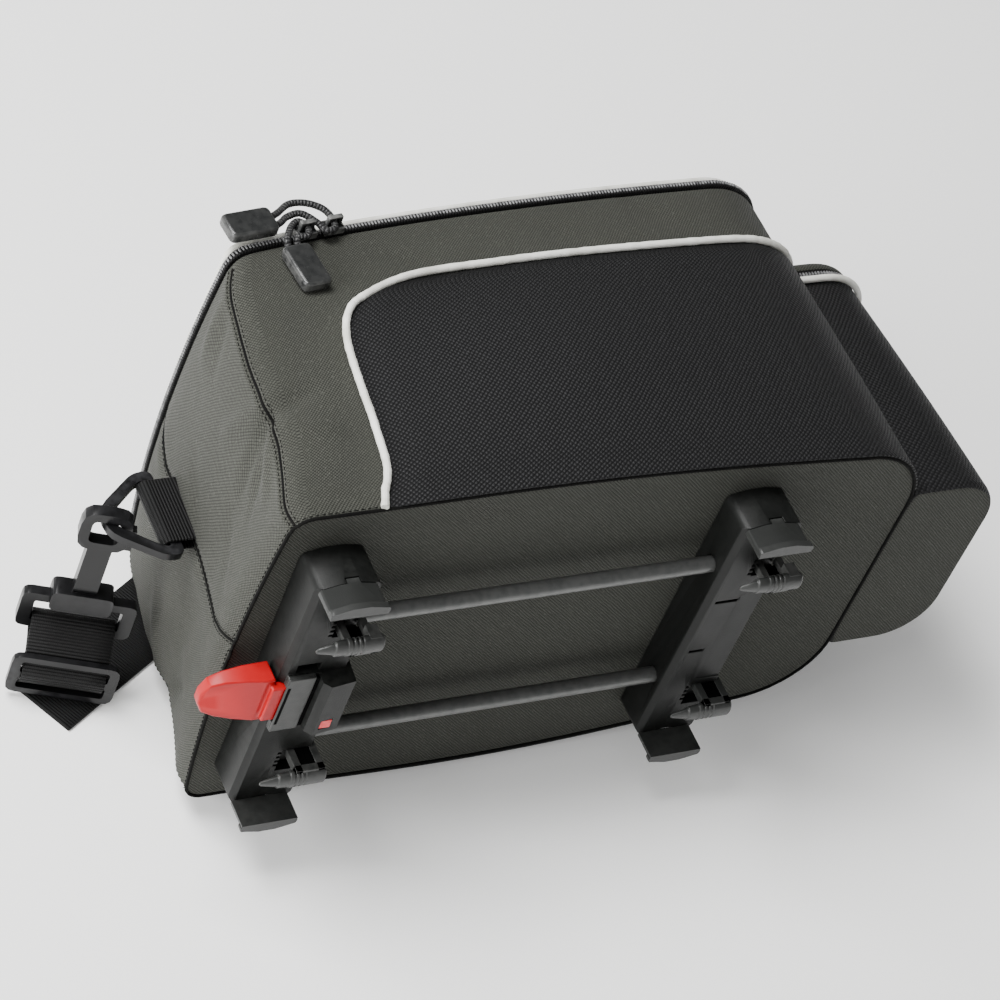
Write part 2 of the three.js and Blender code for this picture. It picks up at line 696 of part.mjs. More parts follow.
function frontTab() {
  const band = ribbonBand(tabLine(), webbingWidth - 3);
  return cut(band.rotateX(Math.PI / 2).translate(frontTabX, tabHeight, 0), [wallSolid()]);
}

function rearTab() {
  const band = ribbonBand(tabLine(), webbingWidth - 3);
  return cut(band.rotateZ(Math.PI).translate(rearTabX, rearTabHeight, 0), [wallSolid()]);
}

// A band of webbing from its line in two dimensions, extruded along its width
function ribbonBand(line, width) {
  const half = webbingThickness / 2;
  const sides = [1, -1].map((side) => line.map((p, i) => {
    const a = line[Math.max(i - 1, 0)];
    const b = line[Math.min(i + 1, line.length - 1)];
    const across = b.clone().sub(a).normalize();
    return V2(p.x - side * half * across.y, p.y + side * half * across.x);
  }));
  const shape = new THREE.Shape([...sides[0], ...sides[1].reverse()]);
  return extruded(shape, width).translate(0, 0, -width / 2);
}

const smooth = (points, count) => new THREE.SplineCurve(points).getPoints(count);

// A ring in x and y, its base bar along y through the origin and its point towards -x
const ringInner = { base: ringBase / 2 - ringWire, shoulder: ringBase / 2 - ringWire - 1.2, point: 4.2 };

function triangleRing() {
  const [half, base, point] = [ringBase / 2, ringWire / 2, ringWire / 2 - ringReach];
  const mirrored = (side) => [...side, ...side.toReversed().map((p) => V2(p.x, -p.y))];
  const outer = mirrored([V2(base, half), V2(-ringShoulder, half - 0.5), V2(point, 7)]);
  const inside = mirrored([V2(base - ringWire, ringInner.base), V2(-ringShoulder, ringInner.shoulder),
    V2(point + ringWire, ringInner.point)]);
  const shape = roundedShape(outer, [4, 4, 6, 6, 4, 4]);
  shape.holes.push(roundedShape(inside, [2, 3, 2.5, 2.5, 3, 2]));
  return extruded(shape, ringThickness).translate(0, 0, -ringThickness / 2);
}

// Drawn hanging: x along the hook's width and y upwards from the ring's wire
function snapHook() {
  const top = ringThickness / 2 + clearance + hookEyeWall;
  const eye = rectangle(hookEyeWidth, hookEyeHeight, 8, 0, top - hookEyeHeight / 2);
  const [w, h] = [hookEyeWidth - 2 * hookEyeWall, hookEyeHeight - 2 * hookEyeWall];
  eye.holes.push(rectangle(w, h, 3, 0, top - hookEyeHeight / 2));
  const bottom = top - hookLength;
  const stem = rectangle(hookStemWidth, hookLength - hookEyeHeight, 0.1, 0,
    (top - hookEyeHeight + bottom) / 2 + 1);
  const yoke = rectangle(yokeWidth, yokeHeight, 3, 0, bottom + yokeHeight / 2);
  const plates = [eye, stem].map((shape) => extruded(shape, hookThickness).translate(0, 0, -hookThickness / 2));
  const foot = extruded(yoke, hookThickness + 4).translate(0, 0, -hookThickness / 2 - 2);
  const barHole = box(-yokeWidth, yokeWidth, bottom + hookBarRise - loopWire / 2 - clearance,
    bottom + hookBarRise + loopWire / 2 + clearance, -loopWire / 2 - clearance, loopWire / 2 + clearance);
  const gate = box(hookEyeWidth / 2 - 2, hookEyeWidth / 2 + 2, top - 22, top - 9, -2, 2);
  return cut(fused(...plates, foot, gate), [barHole]);
}

function rectangularLoop() {
  const frame = rectangle(loopInner + 2 * loopWire + 2, loopHeight, 4, 0, -loopHeight / 2 + loopWire / 2);
  frame.holes.push(rectangle(loopInner, loopHeight - 2 * loopWire, 1, 0, -loopHeight / 2 + loopWire / 2));
  return extruded(frame, loopWire).translate(0, 0, -loopWire / 2);
}

function triGlide() {
  const frame = rectangle(sliderWidth, sliderHeight, 5);
  const slot = (sliderHeight - 3 * sliderBar) / 2;
  for (const side of [-1, 1]) {
    frame.holes.push(rectangle(webbingWidth + 2, slot, 1.5, 0, side * (sliderBar + slot) / 2));
  }
  return extruded(frame, sliderThickness).translate(0, 0, -sliderThickness / 2);
}

// Zip sliders and pulls, drawn with x along the zip, y across it and z away from the bag

function zipSlider() {
  const [length, width, height] = [sliderBodyLength, zipWidth + 1.5, 3.5];
  const body = box(-length / 2, length / 2, -width / 2, width / 2, 0, height);
  const opening = 2 * pullCordRadius + 3 * clearance;
  const post = (x) => box(x - 0.8, x + 0.8, -1.2, 1.2, height - 0.5, height + opening + 1.2);
  const reach = opening / 2 + 0.8;
  const bridge = box(-reach - 0.8, reach + 0.8, -1.2, 1.2, height + opening, height + opening + 1.2);
  return fused(body, post(-reach), post(reach), bridge);
}

function zipPull() {
  const bevel = { bevelEnabled: true, bevelThickness: 1, bevelSize: 1, bevelOffset: -1, bevelSegments: 1 };
  const shape = rectangle(pullLength, pullWidth, 2.5);
  return extruded(shape, pullThickness - 2, { ...bevel, curveSegments: 2 }).translate(0, 0, 1);
}

const cordHeight = 3.5 + clearance + pullCordRadius;

// The cords' routes from the pull, through the slider's bridge at the origin, and back
const pullRoutes = {
  front: [[-27, 8.6], [-23, 10.5], [-16, 14], [-8, 13], [-1.5, 8], [0, 1], [-2, -4], [-6.5, -4], [-8, 1],
    [-13, 7.6], [-20, 7.2], [-24, 5], [-27, 3.4]],
  side: [[-12.9, -8], [-12.4, -5], [-7, 1.5], [-2.5, 3.6], [0, 0.5], [-0.4, -3], [-2.8, -5.4], [-7.2, -5],
    [-8.1, -8]],
};

function addZipPulls() {
  const layout = [
    { name: 'front', x: 54, pull: { x: -27 - pullLength / 2 - 3 * clearance, y: 6, turn: 0 } },
    { name: 'side', x: 40, pull: { x: -10.5, y: -8 - pullLength / 2 - 3 * clearance, turn: 90 } },
  ];
  for (const { name, x, pull } of layout) {
    const height = zipHeightAt(x) + clearance + zipWidth / 2;
    const slope = Math.atan2(zipHeightAt(x + 5) - zipHeightAt(x - 5), 10);
    const frame = place(bag, x, height, bagHalfWidth + zipStandOut + clearance, { z: slope });
    add(`zip_slider_${name}`, zipSlider(), 'plastic', frame);
    const rise = name === 'front' ? 2.8 : 0.6;
    const grip = add(`zip_pull_${name}`, zipPull(), 'plastic', frame);
    grip.position.set(pull.x, pull.y, rise);
    grip.rotation.z = degToRad(pull.turn);
    const ends = rise + pullThickness / 2;
    const route = pullRoutes[name].map(([u, v], i, all) => {
      const nearEnd = i === 0 || i === all.length - 1;
      return V3(u, v, nearEnd ? ends : cordHeight);
    });
    add(`pull_cord_${name}`, tube(route, pullCordRadius, 5, 24), 'webbing', frame);
  }
}

// The strap. Its hanging part is drawn in w, towards the viewer from the hook, and height.

const hookTop = ringThickness / 2 + clearance + hookEyeWall;
const hookFoot = hookTop - hookLength;
const loopBar = hookFoot + hookBarRise - (loopHeight - loopWire);
const floor = -restDepth;
const ribbonFloor = floor + webbingThickness / 2 + 0.05;
const sliderMiddle = floor + 3.5 + sliderHeight / 2;
const sliderAway = 17.4;
const bend = loopWire / 2 * Math.SQRT2 + clearance + webbingThickness / 2;

function hangingLine() {
  const back = sliderAway - sliderThickness / 2 - clearance - webbingThickness / 2;
  const face = sliderAway + sliderThickness / 2 + clearance + webbingThickness / 2;
  const at = (w, rise) => V2(w, sliderMiddle + rise);
  const inner = [at(back, -3.5), at(back, 1.5), at(back - 2, 7.2), at(back - 3.6, 9.6), at(6.5, 11.6)];
  const round = [-90, -135, -180, -225, -270, -320].map((turn) =>
    V2(bend * Math.cos(degToRad(turn)), loopBar + bend * Math.sin(degToRad(turn))));
  const outer = [V2(7.4, loopBar - 0.8), at(back - 3.6, 13.6), at(back - 0.7, 11), at(back + 0.2, 8),
    at(sliderAway + 0.2, 5.2), at(face - 0.3, 2.4), at(face, 0), at(face - 0.3, -2.4),
    at(sliderAway, -5.5), at(back + 0.1, -8.6), at(back - 0.2, -11.4), V2(back - 0.2, floor + 1)];
  return smooth([...inner, ...round, ...outer], 56);
}

function rearLine() {
  const round = [-20, 30, 90, 150, 210, 255].map((turn) =>
    V2(bend * Math.cos(degToRad(turn)), rearLoopBar + bend * Math.sin(degToRad(turn))));
  const flat = ribbonFloor;
  const lower = [V2(3.5, rearLoopBar - 8), V2(9, flat + 3), V2(17, flat + 0.3), V2(26, flat), V2(38, flat)];
  return smooth([V2(20, flat + 2.6), V2(13, flat + 5.6), V2(8, rearLoopBar - 5.2), ...round, ...lower], 34);
}

// The stretch on the floor, flat under the bag's front and then on its edge round to the rear. Its start is
// set from the front hook, its end from the rear hook, and the points between as shares of the way along
// from hook to hook and of the bag's height.
const stripStart = { along: -8, away: sliderAway + 5 };
const stripEnds = [34, 24];
const floorRoute = [
  { along: 0.266, up: 0.799, edge: 0, across: [-0.51, 0.86] },
  { along: 0.55, up: 1.17, edge: 0.05, across: [-0.51, 0.86] },
  { along: 0.699, up: 1.351, edge: 0.5, across: [-0.4, 0.92] },
  { along: 0.843, up: 1.464, edge: 1, across: [-0.25, 0.97] },
  { along: 0.997, up: 1.506, edge: 1, across: [0.1, 1] },
  { along: 1.146, up: 1.429, edge: 1, across: [0.7, 0.7] },
  { along: 1.233, up: 1.262, edge: 1, across: [1, 0.1] },
  { along: 1.241, up: 1.083, edge: 0.55, across: [0.7, -0.7] },
  { along: 1.181, up: 0.976, edge: 0.08, across: [0.1, -1] },
];

function floorRows() {
  const turn = degToRad(hangTurn);
  const { along, away } = stripStart;
  const first = {
    x: frontHook.x + along * Math.cos(turn) + away * Math.sin(turn),
    y: frontHook.y + along * Math.sin(turn) - away * Math.cos(turn),
    edge: 0, across: floorRoute[0].across,
  };
  const between = floorRoute.map((row) => ({
    ...row, x: lerp(frontHook.x, rearHook.x, row.along), y: zipHeightRear * row.up,
  }));
  const last = stripEnds.map((gap) => ({ x: rearHook.x + gap, y: rearTabHeight, edge: 0, across: [0, -1] }));
  return [first, ...between, ...last];
}

function floorRibbon() {
  const rows = floorRows();
  const middle = new THREE.CatmullRomCurve3(rows.map(({ x, y }) => V3(x, y, 0)));
  const width = new THREE.CatmullRomCurve3(rows.map(({ edge, across: [x, y] }) => {
    const flat = Math.cos(edge * Math.PI / 2);
    return V3(x * flat, y * flat, Math.sin(edge * Math.PI / 2));
  }));
  const steps = 36;
  return loft(Array.from({ length: steps + 1 }, (_, i) => {
    const t = i / steps;
    const along = middle.getTangent(t);
    const half = width.getPoint(t).normalize().multiplyScalar(webbingWidth / 2);
    const thick = along.cross(half).setLength(webbingThickness / 2);
    const centre = middle.getPoint(t).setZ(floor + 0.05 + Math.abs(half.z) + Math.abs(thick.z));
    return [[1, 1], [-1, 1], [-1, -1], [1, -1]].map(([a, b]) =>
      centre.clone().addScaledVector(half, a).addScaledVector(thick, b));
  }));
}

// The rear hook hangs on the lower arm of its upright ring, clear of the tab
const rearHookOut = 10;
const armLength = ringReach - 1.5 * ringWire - ringShoulder;
const armSlope = (ringInner.shoulder - ringInner.point) / armLength;
const armEdge = ringInner.shoulder - armSlope * (rearHookOut + hookThickness / 2 - ringShoulder);
const rearHook = { x: rearTabX + rearHookOut, z: -armEdge - ringThickness / 2 };
const rearLoopBar = rearHook.z + loopBar;

function strap() {
  const hanging = ribbonBand(hangingLine(), webbingWidth).rotateY(-Math.PI / 2).rotateX(Math.PI / 2);
  hanging.rotateZ(degToRad(hangTurn)).translate(frontHook.x, frontHook.y, 0);
  const rear = ribbonBand(rearLine(), webbingWidth).rotateX(Math.PI / 2).translate(rearHook.x, rearTabHeight, 0);
  return fused(hanging, floorRibbon(), rear);
}

const frontHook = { x: frontTabX + ringWire - ringReach, y: tabHeight };

function addStrap() {
  add('front_tab', frontTab(), 'webbing');
  add('rear_tab', rearTab(), 'webbing');
  add('front_ring', triangleRing(), 'plastic').position.set(frontTabX, tabHeight, 0);
  add('rear_ring', triangleRing().rotateX(Math.PI / 2).rotateY(Math.PI), 'plastic')
    .position.set(rearTabX, rearTabHeight, 0);
  const front = place(bag, frontHook.x, frontHook.y, 0, { z: degToRad(hangTurn) });
  const rear = place(bag, rearHook.x, rearTabHeight, rearHook.z, { z: Math.PI / 2 });
  for (const [name, frame] of [['front', front], ['rear', rear]]) {
    const upright = place(frame, 0, 0, 0, { x: Math.PI / 2 });
    add(`snap_hook_${name}`, snapHook(), 'plastic', upright);
    add(`strap_loop_${name}`, rectangularLoop(), 'plastic', upright).position.y = hookFoot + hookBarRise;
    if (name === 'front') {
      add('strap_slider', triGlide(), 'plastic', upright).position.set(0, sliderMiddle, sliderAway);
    }
  }
  add('shoulder_strap', strap(), 'webbing');
}

const group = new THREE.Group();
const bag = new THREE.Group();
bag.position.set(-restX, -restY, restDepth);
group.add(bag);

function add(name, geometry, look, parent = bag) {
  const mesh = new THREE.Mesh(geometry, new THREE.MeshStandardMaterial(colours[look]));
  mesh.name = name;
  parent.add(mesh);
  return mesh;
}

function place(parent, x, y, z, turn = {}) {
  const frame = new THREE.Group();
  frame.position.set(x, y, z);
  frame.rotation.set(turn.x ?? 0, turn.y ?? 0, turn.z ?? 0);
  parent.add(frame);
  return frame;
}

add('bag_body', bagBody(), 'fabric');
add('main_zip', zipRing(), 'zip');
add('lid', lid(), 'fabric');
add('lid_piping', lidPiping(), 'piping');
for (const [side, name] of [[1, 'near'], [-1, 'far']]) {
  add(`side_pad_${name}`, pad(side), 'pad');
  add(`side_piping_${name}`, sidePiping(side), 'piping');
}
add('rear_pocket', pocketBody(), 'pad');
add('pocket_zip', pocketZip(), 'zip');
add('pocket_cover', pocketCover(), 'fabric');
add('pocket_piping', pocketPiping(), 'piping');

const rearOfBars = place(bag, barSpacing, 0, 0);
add('front_bar', frontBar(), 'plastic');
add('rear_bar', rearBar(), 'plastic', rearOfBars);
for (const [side, name] of [[1, 'near'], [-1, 'far']]) {
  for (const [parent, end] of [[bag, 'front'], [rearOfBars, 'rear']]) {
    add(`rail_claw_${end}_${name}`, claw(side), 'plastic', parent);
    add(`rail_jaw_${end}_${name}`, jaw(side), 'plastic', parent);
  }
  add(`rod_${name}`, rod(), 'rod').position.set(barSpacing / 2, -rodDrop, side * rodHalfSpacing);
}
add('release_lever', releaseLever(), 'lever');

addZipPulls();
addStrap();

export default group;
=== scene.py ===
import math
import bpy
import bmesh
from mathutils import Matrix, Vector
from mathutils.bvhtree import BVHTree
from mathutils.noise import noise


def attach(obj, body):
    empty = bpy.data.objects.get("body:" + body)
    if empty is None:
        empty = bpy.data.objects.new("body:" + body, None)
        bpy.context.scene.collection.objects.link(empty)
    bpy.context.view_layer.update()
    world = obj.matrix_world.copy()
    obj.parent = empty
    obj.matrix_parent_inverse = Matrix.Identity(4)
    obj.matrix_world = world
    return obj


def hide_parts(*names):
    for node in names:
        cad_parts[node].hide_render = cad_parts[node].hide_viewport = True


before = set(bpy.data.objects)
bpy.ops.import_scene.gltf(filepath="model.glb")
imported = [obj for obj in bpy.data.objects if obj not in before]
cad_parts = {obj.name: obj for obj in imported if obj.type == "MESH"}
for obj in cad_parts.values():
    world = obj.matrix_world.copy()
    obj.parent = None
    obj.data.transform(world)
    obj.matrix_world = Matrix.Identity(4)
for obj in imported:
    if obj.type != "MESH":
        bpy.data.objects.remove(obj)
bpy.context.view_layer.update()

# The bag's own frame, in millimetres: x to its rear, y to its top, z to its near side
mm = 0.001
bagToFrame = Matrix.Scale(mm, 4) @ Matrix.Translation((-105.052, -59.47, 106.0))
floorLevel = -106.0


def lerp(a, b, t):
    return a + (b - a) * t


def clamp(value, low=0.0, high=1.0):
    return max(low, min(high, value))


def smoothLine(points, steps):
    # a Catmull-Rom line through points of any number of coordinates
    ends = [[2 * a - b for a, b in zip(points[0], points[1])], *points,
            [2 * a - b for a, b in zip(points[-1], points[-2])]]
    line = []
    for i in range(1, len(ends) - 2):
        for step in range(steps):
            t = step / steps
            line.append([0.5 * (2 * b + (c - a) * t + (2 * a - 5 * b + 4 * c - d) * t * t
                                + (3 * b - a - 3 * c + d) * t ** 3)
                         for a, b, c, d in zip(ends[i - 1], ends[i], ends[i + 1], ends[i + 2])])
    return line + [list(points[-1])]


def newObject(name, data):
    obj = bpy.data.objects.new(name, data)
    bpy.context.scene.collection.objects.link(obj)
    return obj


# Camera

cameraValues = {"place": (-699.5, -868.8, 1273.9), "right": (0.8769, -0.3798, 0.2945),
                "up": (0.1161, 0.7621, 0.6370), "lens": 141.3, "sensor": 36}


def makeCamera(values):
    right = Vector(values["right"]).normalized()
    back = right.cross(Vector(values["up"])).normalized()
    turned = Matrix((right, back.cross(right), back)).transposed().to_4x4()
    data = bpy.data.cameras.new("camera")
    data.lens, data.sensor_width = values["lens"], values["sensor"]
    camera = newObject("camera", data)
    camera.matrix_world = Matrix.Translation(bagToFrame @ Vector(values["place"])) @ turned
    bpy.context.scene.camera = camera


makeCamera(cameraValues)
print("camera placed")

# Shader groups


class Nodes:
    # adds nodes to a tree and links them, so that a material reads from top to bottom
    def __init__(self, tree):
        self.tree = tree

    def add(self, kind, inputs=None, **settings):
        node = self.tree.nodes.new(kind)
        for name, value in settings.items():
            setattr(node, name, value)
        for name, value in (inputs or {}).items():
            if isinstance(value, bpy.types.NodeSocket):
                self.tree.links.new(value, node.inputs[name])
            else:
                node.inputs[name].default_value = value
        return node

    def math(self, operation, a, b=None, c=None):
        given = {i: value for i, value in enumerate((a, b, c)) if value is not None}
        return self.add("ShaderNodeMath", given, operation=operation).outputs[0]

    def mix(self, share, a, b):
        node = self.add("ShaderNodeMix", {0: share, 6: a, 7: b}, data_type="RGBA")
        return node.outputs[2]

    def ramp(self, value, low, high, to=(0.0, 1.0)):
        node = self.add("ShaderNodeMapRange", {0: value, 1: low, 2: high, 3: to[0], 4: to[1]})
        return node.outputs[0]


def newGroup(name, inputs, outputs):
    tree = bpy.data.node_groups.new(name, "ShaderNodeTree")
    for label, kind, value in inputs:
        socket = tree.interface.new_socket(name=label, in_out="INPUT", socket_type=kind)
        if value is not None:
            socket.default_value = value
    for label, kind in outputs:
        tree.interface.new_socket(name=label, in_out="OUTPUT", socket_type=kind)
    n = Nodes(tree)
    return tree, n, n.add("NodeGroupInput").outputs, n.add("NodeGroupOutput").inputs


def weaveGroup():
    # crossing threads, over and under each other; Place is in threads
    tree, n, given, out = newGroup("threadWeave", [
        ("Place", "NodeSocketVector", None), ("Threads", "NodeSocketFloat", 1000.0),
        ("Roundness", "NodeSocketFloat", 0.5)],
        [("Height", "NodeSocketFloat"), ("Warp", "NodeSocketFloat"), ("Fleck", "NodeSocketFloat")])
    wobble = n.add("ShaderNodeTexNoise", {"Vector": given["Place"], "Scale": 160.0, "Detail": 1.0})
    scaled = n.add("ShaderNodeVectorMath", {0: given["Place"], 3: given["Threads"]}, operation="SCALE")
    moved = n.add("ShaderNodeVectorMath", {0: wobble.outputs["Color"], 1: (0.5, 0.5, 0.5)}, operation="SUBTRACT")
    shift = n.add("ShaderNodeVectorMath", {0: moved.outputs[0], 3: 0.5}, operation="SCALE")
    place = n.add("ShaderNodeVectorMath", {0: scaled.outputs[0], 1: shift.outputs[0]}, operation="ADD")
    parts = n.add("ShaderNodeSeparateXYZ", {0: place.outputs[0]})
    across = n.math("COSINE", n.math("MULTIPLY", parts.outputs[0], math.pi))
    along = n.math("SINE", n.math("MULTIPLY", parts.outputs[1], math.pi))
    over = n.math("MULTIPLY_ADD", n.math("MULTIPLY", along, n.math("SIGN", across)), 0.5, 0.5)
    under = n.math("MULTIPLY_ADD", n.math("MULTIPLY", across, n.math("SIGN", along)), -0.5, 0.5)
    warp = n.math("MULTIPLY", n.math("POWER", n.math("ABSOLUTE", across), given["Roundness"]), over)
    weft = n.math("MULTIPLY", n.math("POWER", n.math("ABSOLUTE", along), given["Roundness"]), under)
    fleck = n.add("ShaderNodeTexNoise", {"Vector": scaled.outputs[0], "Scale": 0.8, "Detail": 2.0})
    n.tree.links.new(n.math("MAXIMUM", warp, weft), out["Height"])
    n.tree.links.new(n.math("GREATER_THAN", warp, weft), out["Warp"])
    n.tree.links.new(fleck.outputs["Fac"], out["Fleck"])
    return tree


def grainGroup():
    # the fine spark-eroded grain of moulded plastic, with slow blotches
    tree, n, given, out = newGroup("mouldedGrain", [
        ("Place", "NodeSocketVector", None), ("Grain size", "NodeSocketFloat", 2400.0)],
        [("Height", "NodeSocketFloat"), ("Blotch", "NodeSocketFloat"), ("Scuff", "NodeSocketFloat")])
    fine = n.add("ShaderNodeTexVoronoi", {"Vector": given["Place"], "Scale": given["Grain size"]},
                 feature="SMOOTH_F1")
    broad = n.add("ShaderNodeTexNoise", {"Vector": given["Place"], "Scale": 45.0, "Detail": 3.0})
    scuff = n.add("ShaderNodeTexNoise", {"Vector": given["Place"], "Scale": 380.0, "Detail": 4.0})
    n.tree.links.new(fine.outputs["Distance"], out["Height"])
    n.tree.links.new(broad.outputs["Fac"], out["Blotch"])
    n.tree.links.new(n.ramp(scuff.outputs["Fac"], 0.62, 0.74), out["Scuff"])
    return tree


def edgeRubAndHighlightGroup():
    # how much an edge stands out, from the mesh's own pointiness, where the plastics are painted lighter: partly real
    # wear, partly a painted highlight
    tree, n, given, out = newGroup("edgeRubAndHighlight", [
        ("Place", "NodeSocketVector", None), ("Start", "NodeSocketFloat", 0.52),
        ("End", "NodeSocketFloat", 0.6)], [("RubAndHighlight", "NodeSocketFloat")])
    pointed = n.add("ShaderNodeNewGeometry").outputs["Pointiness"]
    patch = n.add("ShaderNodeTexNoise", {"Vector": given["Place"], "Scale": 260.0, "Detail": 3.0})
    rubbedAndHighlighted = n.add("ShaderNodeMapRange", {0: pointed, 1: given["Start"], 2: given["End"]})
    n.tree.links.new(n.math("MULTIPLY", rubbedAndHighlighted.outputs[0], n.ramp(patch.outputs["Fac"], 0.3, 0.6)), out["RubAndHighlight"])
    return tree


groups = {"weave": weaveGroup(), "grain": grainGroup(), "edge": edgeRubAndHighlightGroup()}

# Materials


def newMaterial(name, values, build):
    material = bpy.data.materials.new(name)
    material.use_nodes = True
    n = Nodes(material.node_tree)
    shader = material.node_tree.nodes["Principled BSDF"]
    for socket, value in values.get("shader", {}).items():
        shader.inputs[socket].default_value = value
    for socket, link in build(n, values).items():
        material.node_tree.links.new(link, shader.inputs[socket])
    return material


def colour(r, g, b):
    # a screen colour of 0 to 255 as the linear colour that the shader takes
    return tuple((v / 255 / 12.92 if v < 10.3 else ((v / 255 + 0.055) / 1.055) ** 2.4) for v in (r, g, b)) + (1.0,)


def bumped(n, height, distance, strength=1.0, normal=None):
    inputs = {"Height": height, "Distance": distance, "Strength": strength}
    if normal is not None:
        inputs["Normal"] = normal
    return n.add("ShaderNodeBump", inputs).outputs[0]


def wovenLook(n, values):
    threads = n.add("ShaderNodeUVMap", uv_map="threads").outputs[0]
    turned = n.add("ShaderNodeMapping", {"Vector": threads, "Rotation": (0, 0, values["turn"])}).outputs[0]
    weave = n.add("ShaderNodeGroup", {"Place": turned, "Threads": values["threads"]}, node_tree=groups["weave"])
    place = n.add("ShaderNodeTexCoord").outputs["Object"]
    slow = n.add("ShaderNodeTexNoise", {"Vector": place, "Scale": 26.0, "Detail": 4.0}).outputs["Fac"]
    dust = n.add("ShaderNodeTexNoise", {"Vector": place, "Scale": 900.0, "Detail": 2.0}).outputs["Fac"]
    # the hollows between threads take the gap colour: painted shade
    shadedThreads = n.mix(n.ramp(weave.outputs["Height"], 0.15, 0.85), values["gap"], values["thread"])
    flecked = n.mix(n.ramp(weave.outputs["Fleck"], 0.56, 0.74, (0.0, values["fleckShare"])), shadedThreads, values["fleck"])
    aged = n.mix(n.ramp(slow, 0.35, 0.7, (0.0, 0.25)), flecked, values["faded"])
    lint = n.mix(n.ramp(dust, 0.7, 0.76, (0.0, values["lint"])), aged, values["fleck"])
    rough = n.ramp(weave.outputs["Height"], 0.2, 0.9, values["roughness"])
    crinkle = n.add("ShaderNodeTexNoise", {"Vector": place, "Scale": 120.0, "Detail": 3.0}).outputs["Fac"]
    soft = bumped(n, crinkle, 0.0008, 0.35)
    return {"Base Color": lint, "Roughness": rough,
            "Normal": bumped(n, weave.outputs["Height"], values["depth"], values["strength"], soft)}


# gap is the near-black of the painted shade between threads
fabricValues = {"turn": math.radians(45), "threads": 820.0, "depth": 0.0004, "strength": 1.0,
                "thread": colour(61, 62, 56), "gap": colour(4, 4, 4), "fleck": colour(82, 83, 77),
                "fleckShare": 0.5, "faded": colour(40, 41, 37), "lint": 0.05, "roughness": (0.95, 0.7),
                "shader": {"Specular IOR Level": 0.2, "Sheen Weight": 0.03, "Sheen Roughness": 0.5}}
padValues = {"turn": math.radians(45), "threads": 560.0, "depth": 0.0006, "strength": 1.0,
             "thread": colour(27, 27, 28), "gap": colour(2, 2, 2), "fleck": colour(46, 46, 48),
             "fleckShare": 0.3, "faded": colour(17, 17, 18), "lint": 0.02, "roughness": (0.85, 0.5),
             "shader": {"Specular IOR Level": 0.22}}
bagFabric = newMaterial("bagFabric", fabricValues, wovenLook)
padFabric = newMaterial("padFabric", padValues, wovenLook)


def webbingLook(n, values):
    threads = n.add("ShaderNodeUVMap", uv_map="threads").outputs[0]
    parts = n.add("ShaderNodeSeparateXYZ", {0: threads})
    rib = n.math("ABSOLUTE", n.math("SINE", n.math("MULTIPLY", parts.outputs[0], math.pi / values["rib"])))
    strand = n.math("ABSOLUTE", n.math("SINE", n.math("MULTIPLY", parts.outputs[1], math.pi / values["strand"])))
    height = n.math("MULTIPLY_ADD", strand, 0.3, n.math("POWER", rib, 0.6))
    fleck = n.add("ShaderNodeTexNoise", {"Vector": threads, "Scale": 1400.0, "Detail": 2.0}).outputs["Fac"]
    # the low points between ribs and strands take the gap colour: painted shade
    tone = n.mix(n.ramp(height, 0.2, 1.15), values["gap"], values["thread"])
    lit = n.mix(n.ramp(fleck, 0.55, 0.8, (0.0, 0.6)), tone, values["fleck"])
    return {"Base Color": lit, "Roughness": n.ramp(height, 0.3, 1.2, values["roughness"]),
            "Normal": bumped(n, height, values["depth"], 1.0)}


# gap is the near-black of the painted shade between the threads
webbing = newMaterial("webbing", {"rib": 0.0015, "strand": 0.0008, "depth": 0.0005, "thread": colour(13, 13, 13),
                                  "gap": colour(2, 2, 2), "fleck": colour(30, 30, 30), "roughness": (0.85, 0.55),
                                  "shader": {"Specular IOR Level": 0.2}}, webbingLook)
braid = newMaterial("cordBraid", {"rib": 0.0016, "strand": 0.0025, "depth": 0.0006, "thread": colour(30, 30, 31),
                                  "gap": colour(6, 6, 7), "fleck": colour(150, 150, 148), "roughness": (0.8, 0.5),
                                  "shader": {"Specular IOR Level": 0.4}}, webbingLook)


def plasticLook(n, values):
    place = n.add("ShaderNodeTexCoord").outputs["Object"]
    grain = n.add("ShaderNodeGroup", {"Place": place, "Grain size": values["grain"]}, node_tree=groups["grain"])
    rubAndHighlight = n.add("ShaderNodeGroup", {"Place": place}, node_tree=groups["edge"]).outputs["RubAndHighlight"]
    tone = n.mix(n.ramp(grain.outputs["Blotch"], 0.3, 0.7), values["dark"], values["light"])
    # pointed edges take the lighter edge colour: partly real wear, partly a painted highlight
    rubbedAndHighlighted = n.mix(n.math("MULTIPLY", rubAndHighlight, values["wearShare"]), tone, values["edge"])
    scuffed = n.mix(n.math("MULTIPLY", grain.outputs["Scuff"], 0.02), rubbedAndHighlighted, values["edge"])
    sheen = n.ramp(grain.outputs["Blotch"], 0.3, 0.7, values["roughness"])
    rough = n.math("MULTIPLY_ADD", grain.outputs["Scuff"], 0.04, sheen)
    return {"Base Color": scuffed, "Roughness": rough,
            "Normal": bumped(n, grain.outputs["Height"], values["depth"], values["strength"])}


def plastic(name, dark, light, edge, roughness=(0.4, 0.5), strength=0.35, wearShare=0.5, **shader):
    return newMaterial(name, {"grain": 2400.0, "dark": colour(*dark), "light": colour(*light), "edge": colour(*edge),
                              "roughness": roughness, "depth": 0.00012, "strength": strength,
                              "wearShare": wearShare, "shader": shader}, plasticLook)
